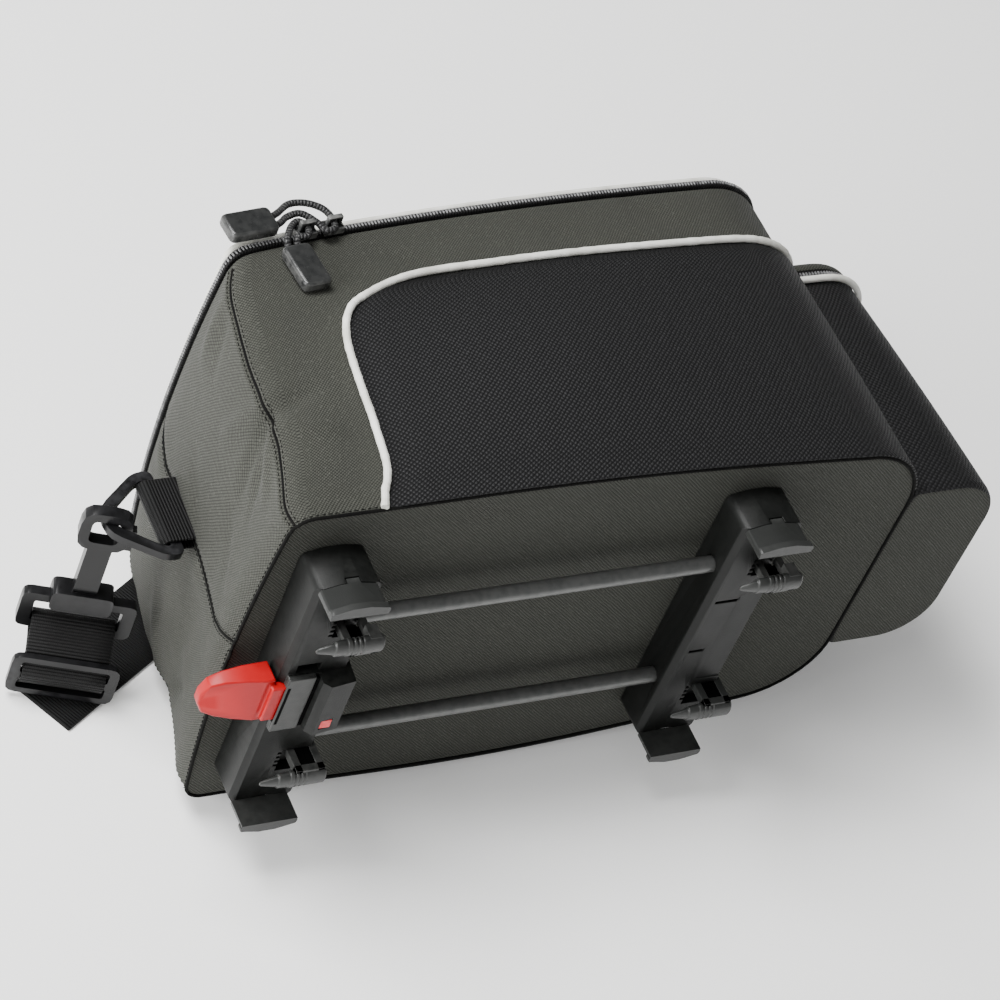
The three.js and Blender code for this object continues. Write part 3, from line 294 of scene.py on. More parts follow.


# each plastic's edge colour is partly real wear and partly a painted highlight, brightest on the rods, the zip pulls
# and the coil
satin = {"Specular IOR Level": 0.35}
adapterPlastic = plastic("adapterPlastic", (32, 33, 32), (35, 36, 35), (70, 71, 69), (0.34, 0.38), wearShare=0.25,
                         **satin)
# the bars' plastic is the claws' plastic painted darker, as shade on the bars' sides that face away from the light
shadedBarPlastic = plastic("shadedBarPlastic", (12, 13, 12), (15, 16, 15), (52, 53, 51), (0.42, 0.48), wearShare=0.25,
                     **{"Specular IOR Level": 0.2})
jawPlastic = plastic("jawPlastic", (44, 45, 44), (47, 48, 47), (96, 96, 94), (0.3, 0.34), wearShare=0.4, **satin)
glossPlastic = plastic("glossPlastic", (8, 8, 9), (10, 10, 11), (52, 52, 54), (0.26, 0.32), strength=0.12,
                       **{"Specular IOR Level": 0.25})
pullPlastic = plastic("pullPlastic", (26, 27, 27), (30, 31, 31), (128, 128, 126), (0.24, 0.3), wearShare=0.8, **satin)
rodFinish = plastic("rodFinish", (74, 75, 74), (77, 78, 77), (140, 140, 138), (0.3, 0.34), strength=0.15,
                    wearShare=0.2, Metallic=0.4)
leverRed = plastic("leverRed", (150, 2, 9), (156, 4, 12), (206, 40, 44), (0.36, 0.4), strength=0.2,
                   wearShare=0.3, **{"Specular IOR Level": 0.25})
zipCoil = plastic("zipCoil", (40, 40, 42), (70, 70, 72), (150, 150, 150), (0.25, 0.35), strength=0.1)
# the stitches' real dark thread colour, also used for the seam lines that are painted shade in their grooves
threadAndShadeDark = plastic("threadAndShadeDark", (5, 5, 5), (8, 8, 7), (22, 22, 20), (0.8, 0.9), **{"Specular IOR Level": 0.1})
# near-black for pieces that only stand for shade in openings and slots: painted shade
paintedShadeDark = plastic("paintedShadeDark", (2, 2, 2), (3, 3, 3), (6, 6, 6), (0.8, 0.9), **{"Specular IOR Level": 0.05})
sightRed = plastic("sightRed", (200, 22, 34), (214, 30, 40), (235, 90, 90))


def pipingLook(n, values):
    place = n.add("ShaderNodeTexCoord").outputs["Object"]
    threads = n.add("ShaderNodeUVMap", uv_map="threads").outputs[0]
    weave = n.add("ShaderNodeGroup", {"Place": threads, "Threads": 1500.0}, node_tree=groups["weave"])
    soil = n.add("ShaderNodeTexNoise", {"Vector": place, "Scale": 70.0, "Detail": 4.0}).outputs["Fac"]
    tone = n.mix(n.ramp(soil, 0.4, 0.75), values["clean"], values["soiled"])
    # the weave's low points are darkened towards the soiled colour: painted shade between threads
    shaded = n.mix(n.ramp(weave.outputs["Height"], 0.0, 0.5, (0.5, 0.0)), tone, values["soiled"])
    pucker = n.add("ShaderNodeTexNoise", {"Vector": threads, "Scale": 260.0, "Detail": 2.0}).outputs["Fac"]
    soft = bumped(n, pucker, 0.0008, 0.5)
    return {"Base Color": shaded, "Roughness": n.ramp(soil, 0.3, 0.7, (0.5, 0.65)),
            "Normal": bumped(n, weave.outputs["Height"], 0.0002, 0.6, soft)}


piping = newMaterial("piping", {"clean": colour(226, 226, 220), "soiled": colour(190, 189, 180),
                                "shader": {"Specular IOR Level": 0.4}}, pipingLook)
print("materials made")

# Mesh helpers


def skinRows(bm, rows):
    # one ring of faces after another, each extruded from the row before it; returns the grid of vertices
    ring = [bm.verts.new(p) for p in rows[0]]
    count = len(ring)
    pairs = [(i, (i + 1) % count) for i in range(count)]
    edges = [bm.edges.new((ring[a], ring[b])) for a, b in pairs]
    grid = [ring]
    for row in rows[1:]:
        made = bmesh.ops.extrude_edge_only(bm, edges=edges)["geom"]
        fresh = {v for v in made if isinstance(v, bmesh.types.BMVert)}
        ring = [next(e.other_vert(v) for e in v.link_edges if e.other_vert(v) in fresh) for v in ring]
        for v, p in zip(ring, row):
            v.co = p
        edges = [bm.edges.get((ring[a], ring[b])) for a, b in pairs]
        grid.append(ring)
    return grid


def closeEnds(bm, grid):
    for ring in (grid[0], grid[-1]):
        bmesh.ops.contextual_create(bm, geom=ring)


def mapFaces(bm, grid, placeOf):
    # UVs in metres for the faces of a grid; placeOf takes a vertex, its row and column, and its face's row
    layer = bm.loops.layers.uv.get("threads") or bm.loops.layers.uv.new("threads")
    count = len(grid[0])
    for r in range(len(grid) - 1):
        for c in range(count):
            d = (c + 1) % count
            corners = {grid[r][c]: (r, c), grid[r][d]: (r, c + 1),
                       grid[r + 1][d]: (r + 1, c + 1), grid[r + 1][c]: (r + 1, c)}
            face = bm.faces.get(list(corners))
            for loop in face.loops if face else ():
                u, v = placeOf(loop.vert, *corners[loop.vert], r)
                loop[layer].uv = (u * mm, v * mm)
    return layer


def lengthsAlong(path):
    lengths = [0.0]
    for a, b in zip(path, path[1:]):
        lengths.append(lengths[-1] + (b - a).length)
    return lengths


def threadMap(bm, grid, flatRows=None):
    # along a row and up the columns, or from above where a row is marked flat
    count = len(grid[0])
    middle = grid[len(grid) // 2] if flatRows is None else grid[flatRows[0]]
    along = [0.0]
    for i in range(count):
        along.append(along[-1] + (middle[i].co - middle[(i + 1) % count].co).length)
    up = [0.0]
    for low, high in zip(grid, grid[1:]):
        up.append(up[-1] + sum((a.co - b.co).length for a, b in zip(low, high)) / count)

    def placeOf(vertex, row, column, faceRow):
        if flatRows and faceRow >= flatRows[1]:
            return vertex.co.x, vertex.co.z
        return along[column], up[row]

    layer = mapFaces(bm, grid, placeOf)
    for face in bm.faces:
        if len(face.verts) > 4:
            for loop in face.loops:
                loop[layer].uv = (loop.vert.co.x * mm, loop.vert.co.z * mm)


def closedOver(bm, grid, flatRows):
    # closes the last row, and cuts the cap into creased triangles so that it stays flat when it is refined
    crease = bm.edges.layers.float.new("crease_edge")
    cap = bmesh.ops.contextual_create(bm, geom=grid[-1])["faces"]
    threadMap(bm, grid, flatRows=flatRows)
    for face in bmesh.ops.triangulate(bm, faces=cap)["faces"]:
        for edge in face.edges:
            edge[crease] = 1.0


def meshOf(name, bm):
    mesh = bpy.data.meshes.new(name)
    bm.to_mesh(mesh)
    bm.free()
    return mesh


def newPiece(name, bm, material, body="bag", slot=None, replaces=(), sharp=35.0, place=True, weld=0.001):
    if weld:
        bmesh.ops.remove_doubles(bm, verts=bm.verts, dist=weld)
    bmesh.ops.recalc_face_normals(bm, faces=bm.faces)
    if place:
        bmesh.ops.transform(bm, matrix=bagToFrame, verts=bm.verts)
    mesh = meshOf(name, bm)
    obj = newObject(name, mesh)
    mesh.materials.append(material)
    mesh.shade_smooth()
    mesh.set_sharp_from_angle(angle=math.radians(sharp))
    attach(obj, body)
    if replaces:
        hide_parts(*replaces)
    return obj


def subdivided(obj):
    modifier = obj.modifiers.new("rounded", "SUBSURF")
    modifier.levels = modifier.render_levels = 1
    return modifier


def sectionAlong(path, normals, section):
    # the points (out, across) that section gives for each point of a path, set up there
    rows = []
    for i, p in enumerate(path):
        ahead = path[min(i + 1, len(path) - 1)] - path[max(i - 1, 0)]
        along = ahead.normalized()
        across = along.cross(normals[i]).normalized()
        out = across.cross(along)
        rows.append([p + out * a + across * b for a, b in section(i)])
    return rows


def tubePiece(name, path, normals, radius, material, sides=12, closed=False, pucker=0.0, **words):
    bm = bmesh.new()
    travelled = lengthsAlong(path)

    def section(i):
        r = radius * (1 + pucker * math.sin(travelled[i] * 1.1) * math.sin(travelled[i] * 0.37 + 1.0))
        return [(r * math.cos(k * 2 * math.pi / sides), r * math.sin(k * 2 * math.pi / sides)) for k in range(sides)]

    rows = sectionAlong(path, normals, section)
    if closed:
        rows.append(rows[0])
    grid = skinRows(bm, rows)
    mapFaces(bm, grid, lambda vertex, row, turn, faceRow:
             (travelled[min(row, len(travelled) - 1)], turn / sides * 2 * math.pi * radius))
    if not closed:
        closeEnds(bm, grid)
    return newPiece(name, bm, material, **words)


def inflate(obj, held, pressure, cap, frames=20, stiffness=15.0):
    # Blender's cloth under pressure, its result kept to a small move and written to the mesh
    group = obj.vertex_groups.new(name="held")
    group.add(held, 1.0, "REPLACE")
    rest = [v.co.copy() for v in obj.data.vertices]
    cloth = obj.modifiers.new("cloth", "CLOTH")
    settings = cloth.settings
    settings.quality = 5
    settings.mass = 0.3
    settings.tension_stiffness = settings.compression_stiffness = stiffness
    settings.bending_stiffness = 0.5
    settings.vertex_group_mass = "held"
    settings.use_pressure = True
    settings.uniform_pressure_force = pressure
    settings.effector_weights.gravity = 0
    cloth.collision_settings.use_collision = False
    cloth.point_cache.frame_start, cloth.point_cache.frame_end = 1, frames
    for step in range(1, frames + 1):
        bpy.context.scene.frame_set(step)
    moved = obj.evaluated_get(bpy.context.evaluated_depsgraph_get())
    ends = [v.co.copy() for v in moved.data.vertices]
    obj.modifiers.remove(cloth)
    bpy.context.scene.frame_set(1)
    for v, a, b in zip(obj.data.vertices, rest, ends):
        move = b - a
        length = move.length
        v.co = a + move * (cap * math.tanh(length / cap) / length if length > 1e-9 else 0)
    obj.vertex_groups.clear()


# The bag's outline: a place on a wall is a stretch, a share along it, a level and a distance out

shape = {"front": -26, "rear": 300, "halfWidth": 97, "frontLean": 29, "rearLean": 4, "frontBow": 5, "taper": 9,
         "taperStart": 50, "frontCorner": 10, "rearCorner": 38, "zipFront": 145, "zipRear": 168, "nearBulge": 6,
         "farBulge": 15, "bulgeCentre": 137.98, "bulgeReach": 140.2, "bulgeLevel": 0.38, "bulgeRise": 0.55,
         "floorGap": 2.1, "middle": 140, "spine": (70, 230)}
frontProfile = [(0, 0.07), (0.07, 0), (0.16, 0.17), (0.31, 0.38), (0.46, 0.43), (0.6, 0.46), (0.75, 0.58),
                (0.87, 0.68), (0.94, 0.8), (1, 1)]
stretches = {"nearSide": 44, "rearNear": 10, "rear": 16, "rearFar": 10, "farSide": 26, "frontFar": 8,
             "front": 32, "frontNear": 8}


def leanOf(level):
    level = clamp(level)
    for (a, leanA), (b, leanB) in zip(frontProfile, frontProfile[1:]):
        if level <= b:
            return lerp(leanA, leanB, (level - a) / (b - a))
    return 1.0


def frontAt(level):
    soft = sum(leanOf(level + step) for step in (-0.03, -0.015, 0, 0.015, 0.03)) / 5
    return shape["front"] + shape["frontLean"] * soft


def rearAt(level):
    return shape["rear"] - shape["rearLean"] * clamp(level)


def halfWidthAt(x):
    length = shape["rear"] - shape["rearCorner"] - shape["taperStart"]
    return shape["halfWidth"] - shape["taper"] * clamp((x - shape["taperStart"]) / length) ** 2


def zipHeightAt(x):
    start = shape["front"] + shape["frontLean"]
    share = clamp((x - start) / (shape["rear"] - shape["rearCorner"] - start))
    return shape["zipFront"] + (shape["zipRear"] - shape["zipFront"]) * share ** 0.7


def bulgeAt(x, level):
    along = clamp(1 - ((x - shape["bulgeCentre"]) / shape["bulgeReach"]) ** 2)
    up = clamp(1 - ((level - shape["bulgeLevel"]) / shape["bulgeRise"]) ** 2)
    return along ** 2 * up ** 2


def wallPoint(stretch, share, level, out=0.0, rise=0.0):
    front, rear = frontAt(level) - out, rearAt(level) + out
    r, R = shape["frontCorner"] + out, shape["rearCorner"] + out
    cornerHalf, frontHalf = halfWidthAt(rear - R) + out, shape["halfWidth"] + out
    far = stretch.endswith("Far") or stretch.startswith("far")
    side = -1 if far else 1
    if stretch.endswith("Side"):
        x = lerp(front + r, rear - R, 1 - share if far else share)
        z = halfWidthAt(x) + out + shape["farBulge" if far else "nearBulge"] * bulgeAt(x, level)
    elif stretch in ("rearNear", "rearFar"):
        turn = (1 - share if far else share) * math.pi / 2
        x, z = rear - R + R * math.sin(turn), cornerHalf - R + R * math.cos(turn)
    elif stretch == "rear":
        x, z = rear, lerp(cornerHalf - R, R - cornerHalf, share)
    elif stretch == "front":
        z = lerp(r - frontHalf, frontHalf - r, share)
        x = front - shape["frontBow"] * (1 - (z / (frontHalf - r)) ** 2)
    else:
        turn = (share if far else 1 - share) * math.pi / 2
        x, z = front + r - r * math.sin(turn), frontHalf - r + r * math.cos(turn)
    z = max(side * z, shape["floorGap"] - out + floorLevel)
    return Vector((x, level * zipHeightAt(x) + rise, z))


columns, starts = [], {}
for stretchName, stretchCount in stretches.items():
    starts[stretchName] = len(columns)
    columns += [(stretchName, i / stretchCount) for i in range(stretchCount)]


def columnOf(stretch, share):
    return starts[stretch] + share * stretches[stretch]


def zipRing(out, rise):
    # the outline at the zip's height, moved out and up
    return [wallPoint(name, share, 1, out, rise) for name, share in columns]


def drawnIn(ring, share, rise):
    # a ring shrunk by a share towards the spine, which runs along the bag's middle
    return [Vector((lerp(p.x, clamp(p.x, *shape["spine"]), share), p.y + rise, lerp(p.z, 0, share))) for p in ring]


# Bag body: a skin of rows from the zip down to the bottom's edge and in under the bag

seamColumns = {"front": 0.5, "frontNear": 0.375, "frontFar": 0.625}
centreSeam = [(0, 16), (0.02, 15), (0.07, 11), (0.16, 1), (0.3, -4), (0.45, -1), (0.6, -1), (0.72, -4), (0.8, -8),
              (0.9, -5), (1, -4)]
bodyLevels = [1, 0.98, 0.95, 0.92, 0.885, 0.85, 0.81, 0.77, 0.73, 0.69, 0.65, 0.61, 0.57, 0.53, 0.49, 0.45, 0.41,
              0.37, 0.33, 0.29, 0.25, 0.21, 0.17, 0.13, 0.1, 0.07, 0.045, 0.025, 0.01, 0]


def valueAt(table, key):
    for (a, valueA), (b, valueB) in zip(table, table[1:]):
        if key <= b:
            return lerp(valueA, valueB, clamp((key - a) / (b - a)))
    return table[-1][1]


def seamed(name, share, level):
    # the front's columns are pushed sideways so that the middle one follows the panel seam
    if name != "front":
        return share
    halfSpan = shape["halfWidth"] - shape["frontCorner"]
    shift = valueAt(centreSeam, level) / (2 * halfSpan)
    return clamp(share + shift * (1 - abs(2 * share - 1)))


def bodyRing(level, out=0.0, rise=0.0):
    return [wallPoint(name, seamed(name, share, level), level, out, rise) for name, share in columns]


def bodyRows():
    rows = [bodyRing(1, -3.2, -3.0), bodyRing(1, -1.6, 0.2)]
    rows += [bodyRing(level) for level in bodyLevels]
    foot = rows[-1]
    for share, rise in ((0.02, -0.1), (0.05, 0.2), (0.1, 0.1), (0.18, 0), (0.3, 0), (0.45, 0), (0.65, 0), (0.85, 0)):
        rows.append(drawnIn(foot, share, rise))
    return rows


firstWallRow = 2
footRow = firstWallRow + len(bodyLevels) - 1
bodyBmesh = bmesh.new()
bodyGrid = skinRows(bodyBmesh, bodyRows())
closedOver(bodyBmesh, bodyGrid, (footRow, footRow))
bodyBmesh.verts.index_update()
gridIndex = [[v.index for v in row] for row in bodyGrid]
bagBody = newPiece("bagBody", bodyBmesh, bagFabric, slot="bag_fabric", replaces=["bag_body"], sharp=70, weld=0)
frameToBag = bagToFrame.inverted()


def seamIndices():
    held = {i for row in gridIndex[:firstWallRow + 1] for i in row} | {i for row in gridIndex[footRow:] for i in row}
    for name, share in seamColumns.items():
        column = round(columnOf(name, share))
        held |= {row[column] for row in gridIndex}
    return sorted(held)


inflate(bagBody, seamIndices(), pressure=2.5, cap=0.0035)
seamValues = {"depth": 2.0, "beside": 0.7}
foldValues = {"deepen": 2.0, "reach": 0.25, "wrinkles": [(0.35, 0.035), (0.18, 0.11)], "footFade": 12, "zipFade": 10}


def sinkSeams():
    # each seam's column lies in a groove between the panels that it joins
    for name, share in seamColumns.items():
        column = round(columnOf(name, share))
        for row in gridIndex[firstWallRow + 1:footRow]:
            for step, depth in ((0, seamValues["depth"]), (-1, -seamValues["beside"]), (1, -seamValues["beside"])):
                vertex = bagBody.data.vertices[row[column + step]]
                p = frameToBag @ vertex.co
                inward = Vector((shape["middle"] - p.x, 0, -p.z)).normalized()
                vertex.co = bagToFrame @ (p + inward * depth)


creases = [
    # from, to, depth and width of a fold, in the bag's millimetres
    ((-12, 59, 92), (-17, 51, 60), 1.6, 3.6), ((-12, 59, 92), (-20, 36, 62), 1.3, 3.4),
    ((-11, 66, 90), (-12, 78, 62), -1.5, 5.0), ((-13, 50, 88), (-21, 30, 78), -1.2, 4.0),
    ((-9, 60, 97), (10, 66, 99), 0.9, 4.0), ((-8, 52, 98), (12, 44, 101), -0.8, 5.0),
    ((-6, 118, 86), (-9, 108, 66), 1.2, 4.0), ((-5, 128, 84), (-7, 122, 60), -1.2, 5.0),
    ((-16, 46, 40), (-22, 30, 20), 1.0, 5.0), ((-14, 70, 12), (-12, 92, 30), 0.9, 6.0),
    ((20, 130, 95), (46, 122, 97), 0.8, 5.0), ((70, 138, 95), (92, 126, 98), 0.7, 6.0),
    ((150, 150, 92), (176, 136, 97), 0.7, 7.0), ((210, 158, 90), (232, 144, 95), 0.6, 7.0),
    ((-15, 55, -90), (-20, 34, -62), 1.3, 4.0), ((-12, 70, -88), (-14, 84, -60), -1.2, 5.0),
    ((296, 40, 60), (298, 90, 70), 0.9, 6.0), ((296, 50, -62), (298, 96, -70), 0.9, 6.0),
]


def foldCreases(obj):
    # sculpts the folds above, fading towards both of their ends, and small wrinkles of a height and a fineness
    reach = foldValues["reach"]
    moves = [(Vector(a), Vector(b), depth, width) for a, b, depth, width in creases]
    for vertex in obj.data.vertices:
        p = frameToBag @ vertex.co
        if p.y < 1.5:
            continue
        inward = Vector((shape["middle"] - p.x if abs(p.z) < 95 else 0, 0, -p.z * 1.2)).normalized()
        shift = 0.0
        for a, b, depth, width in moves:
            along = b - a
            t = clamp((p - a).dot(along) / along.length_squared, -reach, 1 + reach)
            gap = (p - a - along * t).length / width
            if gap < 2.5:
                end = math.sin(math.pi * clamp((t + reach) / (1 + 2 * reach))) ** 0.7
                shift += foldValues["deepen"] * depth * math.exp(-gap * gap) * end
        wrinkle = sum(height * noise(p * fineness) for height, fineness in foldValues["wrinkles"])
        fade = clamp(p.y / foldValues["footFade"]) * clamp((zipHeightAt(p.x) - p.y) / foldValues["zipFade"])
        vertex.co = bagToFrame @ (p + inward * (shift + wrinkle * fade))


def keptAbove(obj, height):
    for vertex in obj.data.vertices:
        vertex.co.z = max(vertex.co.z, height)


def bakedSubdivision(obj):
    modifier = subdivided(obj)
    evaluated = obj.evaluated_get(bpy.context.evaluated_depsgraph_get())
    finer = bpy.data.meshes.new_from_object(evaluated)
    obj.modifiers.remove(modifier)
    old, obj.data = obj.data, finer
    bpy.data.meshes.remove(old)
    finer.name = obj.name


sinkSeams()
keptAbove(bagBody, 0.00035)
wallGrid = [[frameToBag @ bagBody.data.vertices[i].co for i in row] for row in gridIndex]
bakedSubdivision(bagBody)
foldCreases(bagBody)
keptAbove(bagBody, 0.0003)
clothTree = BVHTree.FromObject(bagBody, bpy.context.evaluated_depsgraph_get())
print("bag body blown up and folded")


def laidOn(places, out=0.0, across=0.0, reach=7):
    # the same line of (place, normal), moved sideways and laid down on the folded cloth within reach
    laid = []
    for i, (p, normal) in enumerate(places):
        ahead = places[min(i + 1, len(places) - 1)][0] - places[max(i - 1, 0)][0]
        p = p + normal.cross(ahead).normalized() * across
        hit, facing, _, _ = clothTree.ray_cast(bagToFrame @ (p + normal * reach), -normal, 2 * reach * mm)
        if hit is not None:
            p = frameToBag @ hit
            normal = facing if facing.dot(normal) > 0 else -facing
        p = p + normal * out
        p.z = max(p.z, floorLevel + 1)
        laid.append((p, normal))
    return laid


def surfaceAt(column, level, out=0.0):
    # the blown-up wall at a column of the grid (a fraction may be given) and a level, and its normal
    count = len(columns)
    rows = bodyLevels
    r = next((i for i in range(len(rows) - 1) if rows[i + 1] <= level), len(rows) - 2)
    v = clamp((rows[r] - level) / (rows[r] - rows[r + 1]))
    c = math.floor(column)
    u = column - c
    low, high = wallGrid[firstWallRow + r], wallGrid[firstWallRow + r + 1]
    a, b = low[c % count], low[(c + 1) % count]
    d, e = high[c % count], high[(c + 1) % count]
    place = a.lerp(b, u).lerp(d.lerp(e, u), v)
    across = low[(c + 2) % count] - low[(c - 1) % count]
    up = a.lerp(b, u) - d.lerp(e, u)
    normal = up.cross(across).normalized()
    if normal.dot(Vector((place.x - shape["middle"], 0, place.z))) < 0:
        normal = -normal
    return place + normal * out, normal


# Pull cords: the routes of the CAD, drawn with x along the zip, y across it and z away from the bag

pullValues = {
    "radius": 1.6, "height": 5.4,
    "front": {"x": 54, "ends": 5.8, "route": [(-27, 8.6), (-23, 10.5), (-16, 14), (-8, 13), (-1.5, 8), (0, 1),
                                              (-2, -4), (-6.5, -4), (-8, 1), (-13, 7.6), (-20, 7.2), (-24, 5),
                                              (-27, 3.4)]},
    "side": {"x": 40, "ends": 3.6, "route": [(-12.9, -8), (-12.4, -5), (-7, 1.5), (-2.5, 3.6), (0, 0.5), (-0.4, -3),
                                             (-2.8, -5.4), (-7.2, -5), (-8.1, -8)]},
}


def zipFrame(x):
    slope = math.atan2(zipHeightAt(x + 5) - zipHeightAt(x - 5), 10)
    place = Vector((x, zipHeightAt(x) + 2.8, shape["halfWidth"] + 1.1))
    return Matrix.Translation(place) @ Matrix.Rotation(slope, 4, "Z")


for key in ("front", "side"):
    values = pullValues[key]
    last = len(values["route"]) - 1
    controls = [(u, v, values["ends"] if i in (0, last) else pullValues["height"])
                for i, (u, v) in enumerate(values["route"])]
    localPath = [zipFrame(values["x"]) @ Vector(p) for p in smoothLine(controls, 6)]
    cordPiece = tubePiece(f"pullCord_{key}", localPath, [Vector((0, 0, 1))] * len(localPath), pullValues["radius"],
                          braid, slot="cord", replaces=[f"pull_cord_{key}"])

# Side pads and their piping. A walk of 0 to 1 is the side, 1 to 2 the rear corner.

sidePadValues = {"front": 21, "corner": 58, "topLevel": 0.763, "grow": 2.4, "thick": 2.3, "foot": 0.5, "back": 0.3,
                 "crown": 0.9, "roll": 5.0, "columns": 46, "sideLength": 235, "bendLength": 60, "wallHeight": 165,
                 "endPlace": 57.8,
                 "edge": [(0.0, 0.0), (0.05, 0.05), (0.12, 0.14), (0.3, 0.21), (0.46, 0.25), (0.6, 0.31), (0.69, 0.42),
                          (0.74, 0.6), (0.763, 1.0)]}
pipingValues = {"radius": 1.75, "margin": 4.1, "out": 2.3, "pucker": 0.07, "rimRadius": 1.7}


def walkOf(x, level):
    start = frontAt(level) + shape["frontCorner"]
    return (x - start) / (rearAt(level) - shape["rearCorner"] - start)


def onSide(side, walk, level, out=0.0):
    if side > 0:
        column = columnOf("nearSide", walk) if walk <= 1 else columnOf("rearNear", walk - 1)
    else:
        column = columnOf("farSide", 1 - walk) if walk <= 1 else columnOf("rearFar", 2 - walk)
    place, normal = surfaceAt(column, level, out)
    place.z = max(place.z, floorLevel + 0.1)
    return place, normal


def padEnd(gap):
    reach = sidePadValues["endPlace"] + gap - (shape["halfWidth"] - shape["taper"] - shape["rearCorner"])
    return 1 + math.acos(clamp(reach / shape["rearCorner"])) / (math.pi / 2)


def sidePad(side, name):
    values = sidePadValues
    edge = smoothLine(values["edge"], 5)
    end = padEnd(0.9)
    rows = []
    for level, back in edge:
        up = clamp(level + values["grow"] / shape["zipRear"] * clamp(level * 8), 0, 0.985)
        start = walkOf(values["front"] + values["corner"] * back - values["grow"], up)
        outer, inner = [], []
        for c in range(values["columns"] + 1):
            walk = lerp(start, end, c / values["columns"])
            lengthIn = (walk - start) * values["sideLength"]
            lengthOut = (end - walk) * values["sideLength" if walk < 1 else "bendLength"]
            fromTop = (edge[-1][0] - level) * values["wallHeight"]
            near = min(lengthIn, lengthOut + 1.5, fromTop, level * values["wallHeight"] + 2.6)
            share = clamp(near / values["roll"])
            lift = math.sqrt(1 - (1 - share) ** 2)
            broad = math.sin(math.pi * clamp((walk - start) / (end - start))) * math.sin(math.pi * clamp(level / 0.78))
            out = values["foot"] + (values["thick"] - values["foot"]) * lift + values["crown"] * broad
            outer.append(onSide(side, walk, up, out)[0])
            inner.append(onSide(side, walk, up, values["back"])[0])
        rows.append(outer + inner[::-1])
    for place, row in ((0, rows[0]), (len(rows) + 1, rows[-1])):
        rows.insert(place, [a.lerp(b, 0.5) for a, b in zip(row, row[::-1])])
    bm = bmesh.new()
    grid = skinRows(bm, rows)
    threadMap(bm, grid)
    pad = newPiece(f"sidePad_{name}", bm, padFabric, slot="pad_fabric", replaces=[f"side_pad_{name}"], sharp=60)


def sidePipingPath(side):
    margin = pipingValues["margin"]
    edge = [(level, back - margin / sidePadValues["corner"]) for level, back in sidePadValues["edge"][:-1]]
    controls = [(walkOf(sidePadValues["front"] + sidePadValues["corner"] * back, level), level)
                for level, back in edge]
    topLevel = sidePadValues["topLevel"] + margin / shape["zipRear"]
    first, end = walkOf(sidePadValues["front"] + sidePadValues["corner"], topLevel), padEnd(2.6)
    controls += [(lerp(first, end, i / 9), topLevel) for i in range(10)]
    places = [onSide(side, walk, level, pipingValues["out"]) for walk, level in smoothLine(controls, 14)]
    return [p for p, _ in places], [normal for _, normal in places]


for side, sideName in ((1, "near"), (-1, "far")):
    sidePad(side, sideName)
    path, normals = sidePipingPath(side)
    for p in path:
        p.z = max(p.z, floorLevel + 1.9)
    tubePiece(f"sidePiping_{sideName}", path, normals, pipingValues["radius"], piping, sides=14, slot="piping",
              pucker=pipingValues["pucker"], replaces=[f"side_piping_{sideName}"])
print("side pads sewn on")

# Seams: a dark line in each groove that paints the groove's shade, and one small shape laid again and again beside it
# as stitches

stitchValues = {"length": 2.1, "width": 0.5, "height": 0.5, "spacing": 3.0, "beside": 1.8, "seamSteps": 80,
                "seamRadius": 0.7, "footRadius": 0.8, "seamTop": 0.985, "seamOut": 0.15}


def beadMesh(u, v):
    bm = bmesh.new()
    bmesh.ops.create_uvsphere(bm, u_segments=u, v_segments=v, radius=1)
    return meshOf("bead", bm)


def repeatAlong(bm, bead, places, size, spacing):
    # places are (point, normal) close together along a line; size is along, across and out
    travelled, due = 0.0, spacing / 2
    scale = Matrix.Diagonal((*size, 1))
    for (a, normal), (b, _) in zip(places, places[1:]):
        step = (b - a).length
        while step > 0 and travelled + step >= due:
            along = (b - a).normalized()
            across = normal.cross(along).normalized()
            turned = Matrix((along, across, along.cross(across))).transposed().to_4x4()
            move = Matrix.Translation(a.lerp(b, (due - travelled) / step)) @ turned @ scale
            bead.transform(move)
            bm.from_mesh(bead)
            bead.transform(move.inverted())
            due += spacing
        travelled += step


stitchBead, toothBead = beadMesh(6, 4), beadMesh(8, 5)


def stitchAlong(bm, places):
    size = [stitchValues[key] / 2 for key in ("length", "width", "height")]
    repeatAlong(bm, stitchBead, places, size, stitchValues["spacing"])


def seamPlaces(name, share, foot=0.01):
    v = stitchValues
    levels = [lerp(v["seamTop"], foot, i / v["seamSteps"]) for i in range(v["seamSteps"] + 1)]
    return [surfaceAt(columnOf(name, share), level, v["seamOut"]) for level in levels]


# each seam's groove gets a dark line: painted shade
for seamName, seamShare in seamColumns.items():
    line = laidOn(seamPlaces(seamName, seamShare, foot=0.012), 0.05)
    tubePiece(f"seamShadeLine_{seamName}", [p for p, _ in line], [n for _, n in line], stitchValues["seamRadius"],
              threadAndShadeDark, sides=8, slot="bag_fabric")
# the dark line round the bottom's edge: partly a real seam, partly painted shade
footLine = [surfaceAt(c / 2, 0.0, 0.35) for c in range(2 * len(columns))]
for p, _ in footLine:
    p.z = max(p.z, floorLevel + 0.9)
tubePiece("seamShadeLine_foot", [p for p, _ in footLine], [n for _, n in footLine], stitchValues["footRadius"],
          threadAndShadeDark, sides=8, closed=True, slot="bag_fabric")
seamBmesh = bmesh.new()
for seamName, seamShare in seamColumns.items():
    for sideOffset in (-stitchValues["beside"], stitchValues["beside"]):
        stitchAlong(seamBmesh, laidOn(seamPlaces(seamName, seamShare), 0.08, sideOffset))
stitchAlong(seamBmesh, [surfaceAt(c / 2, 0.012, 0.1) for c in range(2 * len(columns) + 1)])
newPiece("seamStitches", seamBmesh, threadAndShadeDark, slot="bag_fabric", sharp=180, weld=0)
print("seams stitched")

# Lid, main zip and lid piping

lidValues = {"foot": 6.2, "band": 1.5, "edge": 6, "crown": 5, "inset": 6, "browRow": 10}


